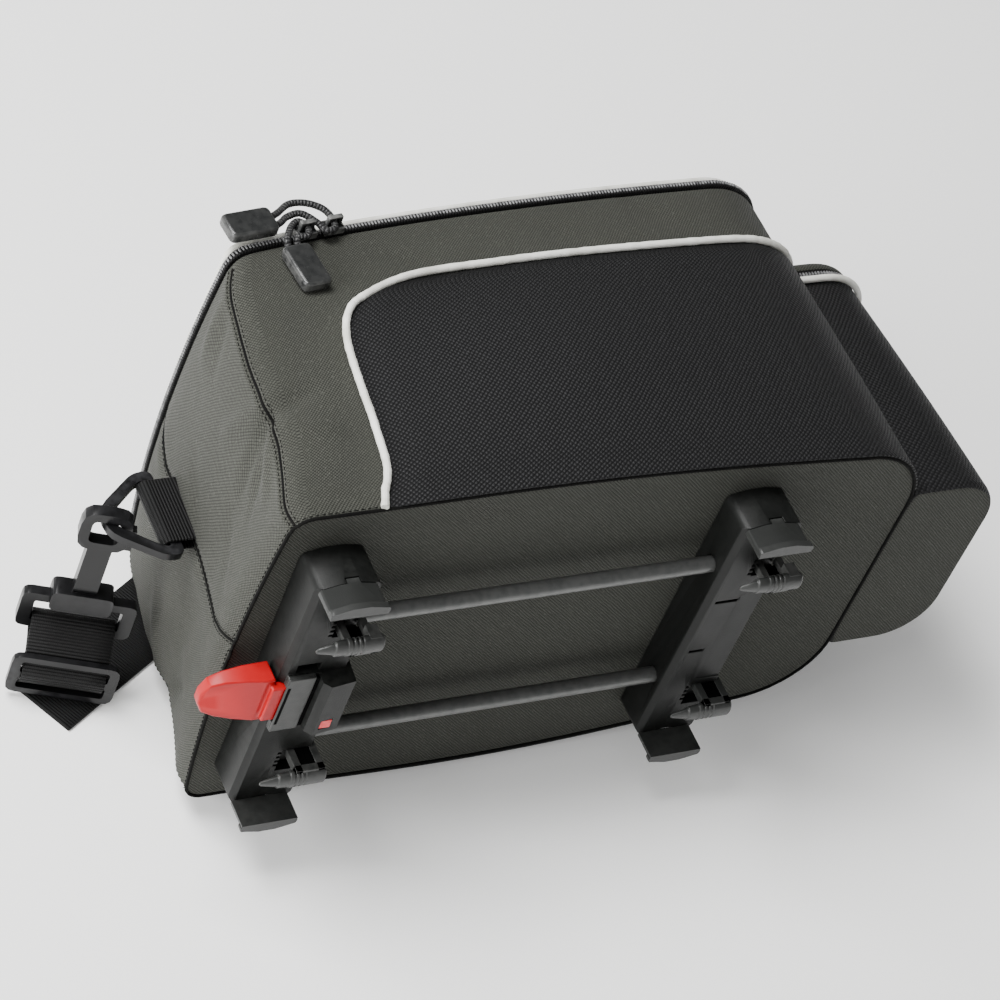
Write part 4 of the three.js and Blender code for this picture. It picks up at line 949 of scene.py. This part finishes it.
def lidRows():
    foot, shoulder = lidValues["foot"], lidValues["foot"] + lidValues["band"]
    edge, top = lidValues["edge"], lidValues["foot"] + lidValues["band"] + lidValues["edge"]
    inset = lidValues["inset"]
    rows = [zipRing(-3 - inset, foot + 2), zipRing(-2.6 - inset, foot), zipRing(-0.2 - inset, foot),
            zipRing(-inset, foot + 0.6)]
    for i in range(6):
        turn = i / 6 * math.pi / 2
        rows.append(zipRing(-inset - edge * (1 - math.cos(turn)), shoulder + edge * math.sin(turn)))
    brow = zipRing(-edge - inset, top)
    rows.append(brow)
    low, high = min(p.x for p in brow), max(p.x for p in brow)
    half = max(p.z for p in brow)
    for share in (0.02, 0.06, 0.12, 0.2, 0.3, 0.42, 0.56, 0.7, 0.85):
        row = drawnIn(brow, share, 0)
        for p in row:
            u, v = (2 * p.x - low - high) / (high - low), p.z / half
            p.y += lidValues["crown"] * (1 - u ** 4) * (1 - v * v) * clamp(share * 4)
        rows.append(row)
    return rows


lidBmesh = bmesh.new()
lidGrid = skinRows(lidBmesh, lidRows())
closedOver(lidBmesh, lidGrid, (8, lidValues["browRow"]))
lidBmesh.verts.index_update()
lidHeld = [v.index for r in (0, 1, 2, 3, 4, lidValues["browRow"]) for v in lidGrid[r]]
bagLid = newPiece("bagLid", lidBmesh, bagFabric, slot="bag_fabric", replaces=["lid"], sharp=70, weld=0)
inflate(bagLid, lidHeld, pressure=2.0, cap=0.003)
subdivided(bagLid)

tapeProfile = [(-2.4, 0.5), (0.3, 0.6), (0.9, 0.9), (0.9, 1.7), (0.3, 2.0), (0.3, 3.4), (0.5, 3.7), (-0.2, 4.9),
               (-1.2, 5.5), (-4.5, 5.6), (-8.8, 5.6)]
tapeBmesh = bmesh.new()
threadMap(tapeBmesh, skinRows(tapeBmesh, [zipRing(out, rise) for out, rise in tapeProfile]))
newPiece("zipTape", tapeBmesh, webbing, slot="zip", replaces=["main_zip"], sharp=50)


def ringNormals(ring):
    count = len(ring)
    return [(ring[(i + 1) % count] - ring[i - 1]).cross(Vector((0, 1, 0))).normalized() for i in range(count)]


toothPitch = 1.7


def coilTeeth(name, ring, closed):
    # teeth face away from the ring's middle
    bm = bmesh.new()
    normals = ringNormals(ring) if closed else ringNormals([ring[0]] + ring + [ring[-1]])[1:-1]
    middle = sum(ring, Vector()) / len(ring)
    normals = [n if n.dot(Vector((p.x - middle.x, 0, p.z - middle.z))) > 0 else -n for n, p in zip(normals, ring)]
    places = list(zip(ring, normals)) + ([(ring[0], normals[0])] if closed else [])
    repeatAlong(bm, toothBead, places, (0.36 * toothPitch, 1.3, 0.6), toothPitch)
    newPiece(name, bm, zipCoil, slot="zip", sharp=180, weld=0)


coilTeeth("mainZipCoil", zipRing(0.75, 2.8), True)
lidPipingRing = zipRing(2.0 - lidValues["inset"], 8.2)
tubePiece("lidPiping", lidPipingRing, ringNormals(lidPipingRing), pipingValues["rimRadius"], piping, closed=True,
          slot="piping", replaces=["lid_piping"])
print("lid and zip made")

# Rear pocket

pocketValues = {"depth": 55, "lean": 11, "half": 57, "corner": 27, "height": 132, "belly": 0.8, "tuck": 0.8,
                "rows": [132, 130, 126, 120, 112, 102, 91, 80, 68, 56, 45, 35, 26, 18, 11, 6, 3, 1], "middle": 325,
                "spine": 25, "tape": 132.3, "coil": 134.8, "coverFoot": 137.6, "cover": 9.5, "piping": 130.3,
                "openCount": 48, "pipingEnds": 3.7, "pipingMiddle": 320}
pocketTapeProfile = [(-2, 0), (0, 0.1), (0.4, 0.4), (0.4, 1.6), (-0.1, 1.8), (-0.1, 3.2), (0.4, 3.4), (0.4, 4.6),
                     (0, 4.9), (-2, 5)]
# share of the cover's height, and distance out
coverProfile = [(0.1, -2.4), (0, -0.8), (0, 0), (0.12, 0.2), (0.3, -0.1), (0.48, -1), (0.64, -2.4), (0.78, -4.4),
                (0.88, -7.5), (0.95, -11), (1.0, -16), (1.03, -22)]


def pocketRing(height, out=0.0):
    v = pocketValues
    back = rearAt(height / shape["zipRear"]) + 0.3 - min(out, 0)
    rear = shape["rear"] + v["depth"] - v["lean"] * clamp(height / v["height"]) + out
    half, r = v["half"] + out, v["corner"] + out
    flank = [Vector((lerp(back, rear - r, i / 7), height, half)) for i in range(7)]
    bend = [Vector((rear - r + r * math.sin(t), height, half - r + r * math.cos(t)))
            for t in (i / 9 * math.pi / 2 for i in range(10))]
    middle = [Vector((rear, height, lerp(half - r, 0, i / 7))) for i in range(1, 7)]
    nearHalf = flank + bend + middle
    farHalf = [Vector((p.x, p.y, -p.z)) for p in reversed(nearHalf)]
    hidden = [Vector((back, height, lerp(-half, half, i / 5))) for i in range(1, 5)]
    return nearHalf + [Vector((rear, height, 0))] + farHalf + hidden


pocketRows = [pocketRing(pocketValues["height"] - 3, -2.4), pocketRing(pocketValues["height"], -1.2)]
for height in pocketValues["rows"]:
    belly = pocketValues["belly"] * math.sin(math.pi * clamp(1 - height / pocketValues["height"]))
    tuck = pocketValues["tuck"] if height == pocketValues["rows"][-1] else 0
    pocketRows.append(pocketRing(height, belly - tuck))
pocketFoot, pocketSpine = len(pocketRows), pocketValues["spine"]
pocketRows.append(pocketRing(0, -1.5))
for inset in (0.06, 0.15, 0.3, 0.5, 0.75):
    pocketRows.append([Vector((lerp(p.x, pocketValues["middle"], inset), 0,
                               lerp(p.z, clamp(p.z, -pocketSpine, pocketSpine), inset)))
                       for p in pocketRows[pocketFoot]])
pocketBmesh = bmesh.new()
pocketGrid = skinRows(pocketBmesh, pocketRows)
closedOver(pocketBmesh, pocketGrid, (8, pocketFoot))
for face in pocketBmesh.faces:
    if all(v.co.y < 0.6 for v in face.verts):
        face.material_index = 1
pocketBmesh.verts.index_update()
pocketHeld = {v.index for ring in pocketGrid[:4] + pocketGrid[pocketFoot:] for v in ring}
pocketHeld |= {v.index for row in pocketGrid for v in row[:2] + row[-6:]}
rearPocket = newPiece("rearPocket", pocketBmesh, padFabric, slot="pad_fabric", replaces=["rear_pocket"], sharp=70,
                      weld=0)
rearPocket.data.materials.append(bagFabric)
inflate(rearPocket, sorted(pocketHeld), pressure=2.0, cap=0.003)
subdivided(rearPocket)


def openRing(height, out):
    # without most of the stretch that lies against the bag
    return pocketRing(height, out)[:pocketValues["openCount"]]


pocketTape = bmesh.new()
threadMap(pocketTape, skinRows(pocketTape, [pocketRing(pocketValues["tape"] + rise, out)
                                            for out, rise in pocketTapeProfile]))
newPiece("pocketZipTape", pocketTape, webbing, slot="zip", replaces=["pocket_zip"], sharp=50)
coilTeeth("pocketZipCoil", openRing(pocketValues["coil"], 0.4), False)

coverBmesh = bmesh.new()
coverGrid = skinRows(coverBmesh, [pocketRing(pocketValues["coverFoot"] + rise * pocketValues["cover"], out)
                                  for rise, out in coverProfile])
closedOver(coverBmesh, coverGrid, (3, 6))
pocketCover = newPiece("pocketCover", coverBmesh, bagFabric, slot="bag_fabric", replaces=["pocket_cover"], sharp=70)
subdivided(pocketCover)
pocketPipingPath = openRing(pocketValues["piping"], 2.0)
for p in (pocketPipingPath[0], pocketPipingPath[-1]):
    p.x += pocketValues["pipingEnds"]
pocketMiddle = Vector((pocketValues["pipingMiddle"], pocketValues["piping"], 0))
tubePiece("pocketPiping", pocketPipingPath, [(p - pocketMiddle).normalized() for p in pocketPipingPath],
          pipingValues["rimRadius"], piping, slot="piping", replaces=["pocket_piping"])
print("rear pocket made")

# Hard pieces: merged and bevelled copies of the CAD's solids


def softened(obj, width, segments=2):
    bevel = obj.modifiers.new("softEdges", "BEVEL")
    bevel.width, bevel.segments, bevel.limit_method = width * mm, segments, "ANGLE"
    bevel.angle_limit = math.radians(28)
    return obj


def finishedCopy(node, name, material, slot, width, segments=2, body="bag"):
    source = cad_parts[node]
    bm = bmesh.new()
    bm.from_mesh(source.data)
    bmesh.ops.remove_doubles(bm, verts=bm.verts, dist=2e-6)
    bmesh.ops.dissolve_limit(bm, angle_limit=math.radians(1.5), verts=bm.verts, edges=bm.edges)
    piece = newPiece(name, bm, material, body=body, slot=slot, replaces=[node], place=False, weld=0, sharp=40)
    return softened(piece, width, segments)


def addBox(bm, low, high):
    middle = [(a + b) / 2 for a, b in zip(low, high)]
    size = Matrix.Diagonal([b - a for a, b in zip(low, high)] + [1])
    bmesh.ops.create_cube(bm, size=1, matrix=Matrix.Translation(middle) @ size)


# A rail jaw: places along its spindle with their radius, the boxes of its frame and peg, and a dark box in its window
# that paints the shade inside it
jawValues = {"axis": (-31, 47), "flat": 0.62, "rearOffset": 208,
             "spindle": [(-12, 0.7), (-11, 1.5), (-4, 3.3), (-3.4, 4.3), (1.6, 4.5), (1.9, 5.0), (3.6, 5.0), (3.8, 4.4),
                         (4.6, 4.4), (4.8, 5.0), (5.8, 5.0), (6.0, 4.4), (6.8, 4.4), (7.0, 5.0), (8.0, 5.0), (8.2, 4.4),
                         (9.0, 4.4), (9.3, 5.0), (18.2, 5.0), (19, 4.2)],
             "boxes": [((4, -32, 41), (7.4, -15.8, 45)), ((14.6, -32, 41), (18, -15.8, 45)),
                       ((4, -32, 41), (18, -28.5, 47)), ((12, -32, 47.5), (17.5, -24.5, 52))],
             "window": ((7.2, -28.6, 41.4), (14.8, -18, 42.2))}


def railJaw(end, sideName):
    side = 1 if sideName == "near" else -1
    away = Vector((jawValues["rearOffset"] if end == "rear" else 0, 0, 0))
    body, node = f"jaw_{end}_{sideName}", f"rail_jaw_{end}_{sideName}"
    y, z = jawValues["axis"]
    bm = bmesh.new()
    rings = [[Vector((x, y + r * jawValues["flat"] * math.cos(t), z + r * math.sin(t)))
              for t in (k / 20 * 2 * math.pi for k in range(20))] for x, r in jawValues["spindle"]]
    closeEnds(bm, skinRows(bm, rings))
    for low, high in jawValues["boxes"]:
        addBox(bm, low, high)
    window = bmesh.new()
    addBox(window, *jawValues["window"])
    for mesh in (bm, window):
        for v in mesh.verts:
            v.co = v.co + away
            v.co.z *= side
    softened(newPiece(f"railJaw_{end}_{sideName}", bm, jawPlastic, body=body, slot="adapter_plastic",
                      replaces=[node], weld=0, sharp=30), 0.5)
    # a dark box in the jaw's window: painted shade
    newPiece(f"jawWindowShade_{end}_{sideName}", window, paintedShadeDark, body=body, slot="adapter_plastic", weld=0)


# The cover over the lever's neck, dark boxes at its two ends that paint the shade in its slots, and the red sight in
# the block's window
latchBoxes = {
    "latchCover": (adapterPlastic, 0.5, [((-13, -24.3, -18), (0, -23.2, 18)), ((-13, -23.4, 12), (0, -20.5, 18)),
                                         ((-13, -23.4, -18), (0, -20.5, -12))]),
    # the boxes in the slots are painted shade
    "latchSlotShade": (paintedShadeDark, 0, [((-12.2, -24.5, -12.5), (-11, -24.1, 12.5)),
                                   ((0, -23.9, -16.8), (2.2, -23.2, 16.8))]),
    "latchSight": (sightRed, 0.2, [((7.4, -29.4, -13.6), (12.6, -28.6, -8.4))]),
}
for boxName, (boxMaterial, edge, boxes) in latchBoxes.items():
    boxBmesh = bmesh.new()
    for low, high in boxes:
        addBox(boxBmesh, low, high)
    softened(newPiece(boxName, boxBmesh, boxMaterial, slot="adapter_plastic", weld=0, sharp=30), edge)

# the bars take the darker plastic: painted shade
finishedCopy("front_bar", "frontBar", shadedBarPlastic, "adapter_plastic", 0.6)
finishedCopy("rear_bar", "rearBar", shadedBarPlastic, "adapter_plastic", 0.6)
for sideName in ("near", "far"):
    finishedCopy(f"rod_{sideName}", f"rod_{sideName}_finish", rodFinish, "rod", 0.4)
    for end in ("front", "rear"):
        finishedCopy(f"rail_claw_{end}_{sideName}", f"railClaw_{end}_{sideName}", adapterPlastic, "adapter_plastic",
                     0.5)
        railJaw(end, sideName)
finishedCopy("release_lever", "releaseLever", leverRed, "lever", 0.8, 3, body="release_lever")
for end in ("front", "rear"):
    finishedCopy(f"{end}_ring", f"{end}Ring", glossPlastic, "hardware_plastic", 0.8, 3)
    finishedCopy(f"snap_hook_{end}", f"snapHook_{end}", glossPlastic, "hardware_plastic", 0.7)
    finishedCopy(f"strap_loop_{end}", f"strapLoop_{end}", glossPlastic, "hardware_plastic", 0.9, 3)
finishedCopy("strap_slider", "strapSlider", glossPlastic, "hardware_plastic", 0.9, 3)
for key in ("front", "side"):
    finishedCopy(f"zip_pull_{key}", f"zipPull_{key}", pullPlastic, "hardware_plastic", 0.6)
    finishedCopy(f"zip_slider_{key}", f"zipSlider_{key}", pullPlastic, "zip", 0.3)
print("hard pieces finished")

# Webbing: bands with a rounded edge along the CAD's lines

webbingValues = {"width": 38, "thick": 1.6, "hook": (-53.246, 85), "turn": -20.6, "loopBar": -72.7, "bend": 4.636,
                 "sliderMiddle": -90.0, "sliderAway": 17.4}


def bandPiece(name, places, widths, replaces=(), width=webbingValues["width"]):
    # places and unit width directions; the band's thickness lies across both, and no section dips into the floor
    bm = bmesh.new()
    half, t = width / 2, webbingValues["thick"] / 2
    upper = [(-half, 0.4 * t), (-half + 0.5, t), (-half * 0.5, t), (0, t), (half * 0.5, t), (half - 0.5, t),
             (half, 0.4 * t)]
    lower = [(a, -b) for a, b in reversed(upper)]
    section = [lower[-1], *upper, *lower[:-1]]
    rows = []
    for i, p in enumerate(places):
        along = (places[min(i + 1, len(places) - 1)] - places[max(i - 1, 0)]).normalized()
        across = (widths[i] - along * widths[i].dot(along)).normalized()
        thickWay = along.cross(across)
        row = [p + across * a + thickWay * b for a, b in section]
        lift = max(0, floorLevel + 0.05 - min(q.z for q in row))
        rows.append([q + Vector((0, 0, lift)) for q in row])
    grid = skinRows(bm, rows)
    travelled = lengthsAlong(places)
    mapFaces(bm, grid, lambda vertex, row, column, faceRow: (travelled[row], section[column % len(section)][0]))
    closeEnds(bm, grid)
    newPiece(name, bm, webbing, slot="webbing", replaces=replaces, sharp=50)


def polar(radius, degrees, y):
    return (radius * math.cos(math.radians(degrees)), y + radius * math.sin(math.radians(degrees)))


def hangingLine():
    v = webbingValues
    away, middle, bar = v["sliderAway"], v["sliderMiddle"], v["loopBar"]
    back, face = away - 2.6, away + 2.6
    line = [(back, middle - 3.5), (back, middle + 1.5), (back - 2, middle + 7.2), (back - 3.6, middle + 9.6),
            (6.5, middle + 11.6)]
    line += [polar(v["bend"], turn, bar) for turn in (-90, -135, -180, -225, -270, -320)]
    line += [(7.4, bar - 0.8), (back - 3.6, middle + 13.6), (back - 0.7, middle + 11), (back + 0.2, middle + 8),
             (away + 0.2, middle + 5.2), (face - 0.3, middle + 2.4), (face, middle), (face - 0.3, middle - 2.4),
             (away, middle - 5.5), (back + 0.1, middle - 8.6), (back - 0.2, middle - 11.4),
             (back - 0.2, floorLevel + 1)]
    return smoothLine(line, 5)


hookX, hookY = webbingValues["hook"]
turn = math.radians(webbingValues["turn"])
widthWay = Vector((math.cos(turn), math.sin(turn), 0))
towardsViewer = Vector((math.sin(turn), -math.cos(turn), 0))
hanging = [Vector((hookX, hookY, 0)) + towardsViewer * w + Vector((0, 0, z)) for w, z in hangingLine()]
bandPiece("strapFront", hanging, [widthWay] * len(hanging), replaces=["shoulder_strap"])

# The strap's rear end and its stretch on the floor

rearHookPlace = {"x": 316.0, "z": -14.44, "tabHeight": 161.7}


def rearLine():
    bar = rearHookPlace["z"] + webbingValues["loopBar"]
    flat = floorLevel + 0.85
    line = [(20, flat + 2.6), (13, flat + 5.6), (8, bar - 5.2)]
    line += [polar(webbingValues["bend"], turn, bar) for turn in (-20, 30, 90, 150, 210, 255)]
    line += [(3.5, bar - 8), (9, flat + 3), (17, flat + 0.3), (26, flat), (38, flat)]
    return smoothLine(line, 5)


floorRoute = [(0.266, 0.799, 0, (-0.51, 0.86)), (0.55, 1.17, 0.05, (-0.51, 0.86)), (0.699, 1.351, 0.5, (-0.4, 0.92)),
              (0.843, 1.464, 1, (-0.25, 0.97)), (0.997, 1.506, 1, (0.1, 1)), (1.146, 1.429, 1, (0.7, 0.7)),
              (1.233, 1.262, 1, (1, 0.1)), (1.241, 1.083, 0.55, (0.7, -0.7)), (1.181, 0.976, 0.08, (0.1, -1))]


def floorRibbon():
    # along, up and edge from hook to hook; edge 0 lies flat and edge 1 stands on its side
    start = Vector((hookX, hookY, 0)) + widthWay * -8 + towardsViewer * (webbingValues["sliderAway"] + 5)
    rows = [(start.x, start.y, 0, *floorRoute[0][3])]
    rows += [(lerp(hookX, rearHookPlace["x"], along), shape["zipRear"] * up, edge, *across)
             for along, up, edge, across in floorRoute]
    rows += [(rearHookPlace["x"] + gap, rearHookPlace["tabHeight"], 0, 0, -1) for gap in (34, 24)]
    line = smoothLine([(x, y, math.cos(edge * math.pi / 2) * a, math.cos(edge * math.pi / 2) * b,
                        math.sin(edge * math.pi / 2)) for x, y, edge, a, b in rows], 12)
    widths = [Vector(row[2:]).normalized() for row in line]
    places = []
    for row, w in zip(line, widths):
        half = abs(w.z) * webbingValues["width"] / 2 + webbingValues["thick"] / 2 * math.sqrt(max(0, 1 - w.z * w.z))
        places.append(Vector((row[0], row[1], floorLevel + 0.05 + half)))
    return places, widths


places, widths = floorRibbon()
bandPiece("strapFloor", places, widths)
rear = [Vector((rearHookPlace["x"] + w, rearHookPlace["tabHeight"], z)) for w, z in rearLine()]
bandPiece("strapRear", rear, [Vector((0, 1, 0))] * len(rear))

tabValues = {"reach": 10, "middle": 3.1, "nose": 3.2, "width": 35, "front": (-27.746, 85), "rear": (306, 161.7)}


def tabLine():
    v = tabValues
    half = [(v["reach"] + 6, v["middle"]), (v["reach"] - 3, v["middle"]), (0, v["middle"]), (-v["nose"], v["middle"]),
            (-v["nose"] - 1.8, v["middle"] / 2)]
    return smoothLine(half + [(-v["nose"] - 2.2, 0)] + [(x, -y) for x, y in reversed(half)], 5)


tabX, tabY = tabValues["front"]
frontTab = [Vector((tabX + x, tabY, y)) for x, y in tabLine()]
rearX, rearY = tabValues["rear"]
rearTab = [Vector((rearX - x, rearY - y, 0)) for x, y in tabLine()]
bandPiece("frontTab", frontTab, [Vector((0, 1, 0))] * len(frontTab), replaces=["front_tab"], width=tabValues["width"])
bandPiece("rearTab", rearTab, [Vector((0, 0, 1))] * len(rearTab), replaces=["rear_tab"], width=tabValues["width"])
print("strap made")

# Floor and light

bm = bmesh.new()
bmesh.ops.create_grid(bm, x_segments=1, y_segments=1, size=6.0)
floor = newObject("floor", meshOf("floor", bm))
floor.location.z = -0.0002
floorValues = {"shader": {"Base Color": colour(250, 250, 249), "Roughness": 0.9, "Emission Color": (1, 1, 1, 1),
                          "Emission Strength": 0.12}}
floor.data.materials.append(newMaterial("paleFloor", floorValues, lambda n, values: {}))

lightValues = {"aim": (0.05, 0.0, 0.08), "world": (0.12, 0.9), "backdrop": 0.85,
               "key": {"place": (-0.8, 0.5, 1.9), "size": 0.9, "power": 74},
               "front": {"place": (-1.9, -0.2, 0.75), "size": 1.0, "power": 52},
               "side": {"place": (0.2, -1.7, 0.6), "size": 0.9, "power": 3}}
world = bpy.data.worlds.new("studio")
world.use_nodes = True
sky = Nodes(world.node_tree)
towards = sky.add("ShaderNodeSeparateXYZ", {0: sky.add("ShaderNodeTexCoord").outputs["Generated"]})
glow = sky.ramp(towards.outputs[0], 0.5, -0.7, lightValues["world"])
seen = sky.math("MULTIPLY", sky.add("ShaderNodeLightPath").outputs["Is Camera Ray"], lightValues["backdrop"])
brightness = sky.math("MAXIMUM", glow, seen)
world.node_tree.nodes["Background"].inputs["Color"].default_value = (1, 1, 1, 1)
world.node_tree.links.new(brightness, world.node_tree.nodes["Background"].inputs["Strength"])
bpy.context.scene.world = world
for lightName in ("key", "front", "side"):
    v = lightValues[lightName]
    data = bpy.data.lights.new(lightName, "AREA")
    data.size, data.energy = v["size"], v["power"]
    light = newObject(lightName, data)
    light.location = v["place"]
    light.rotation_mode = "QUATERNION"
    light.rotation_quaternion = (Vector(lightValues["aim"]) - Vector(v["place"])).to_track_quat("-Z", "Y")
print("lights set")

bpy.context.view_layer.update()
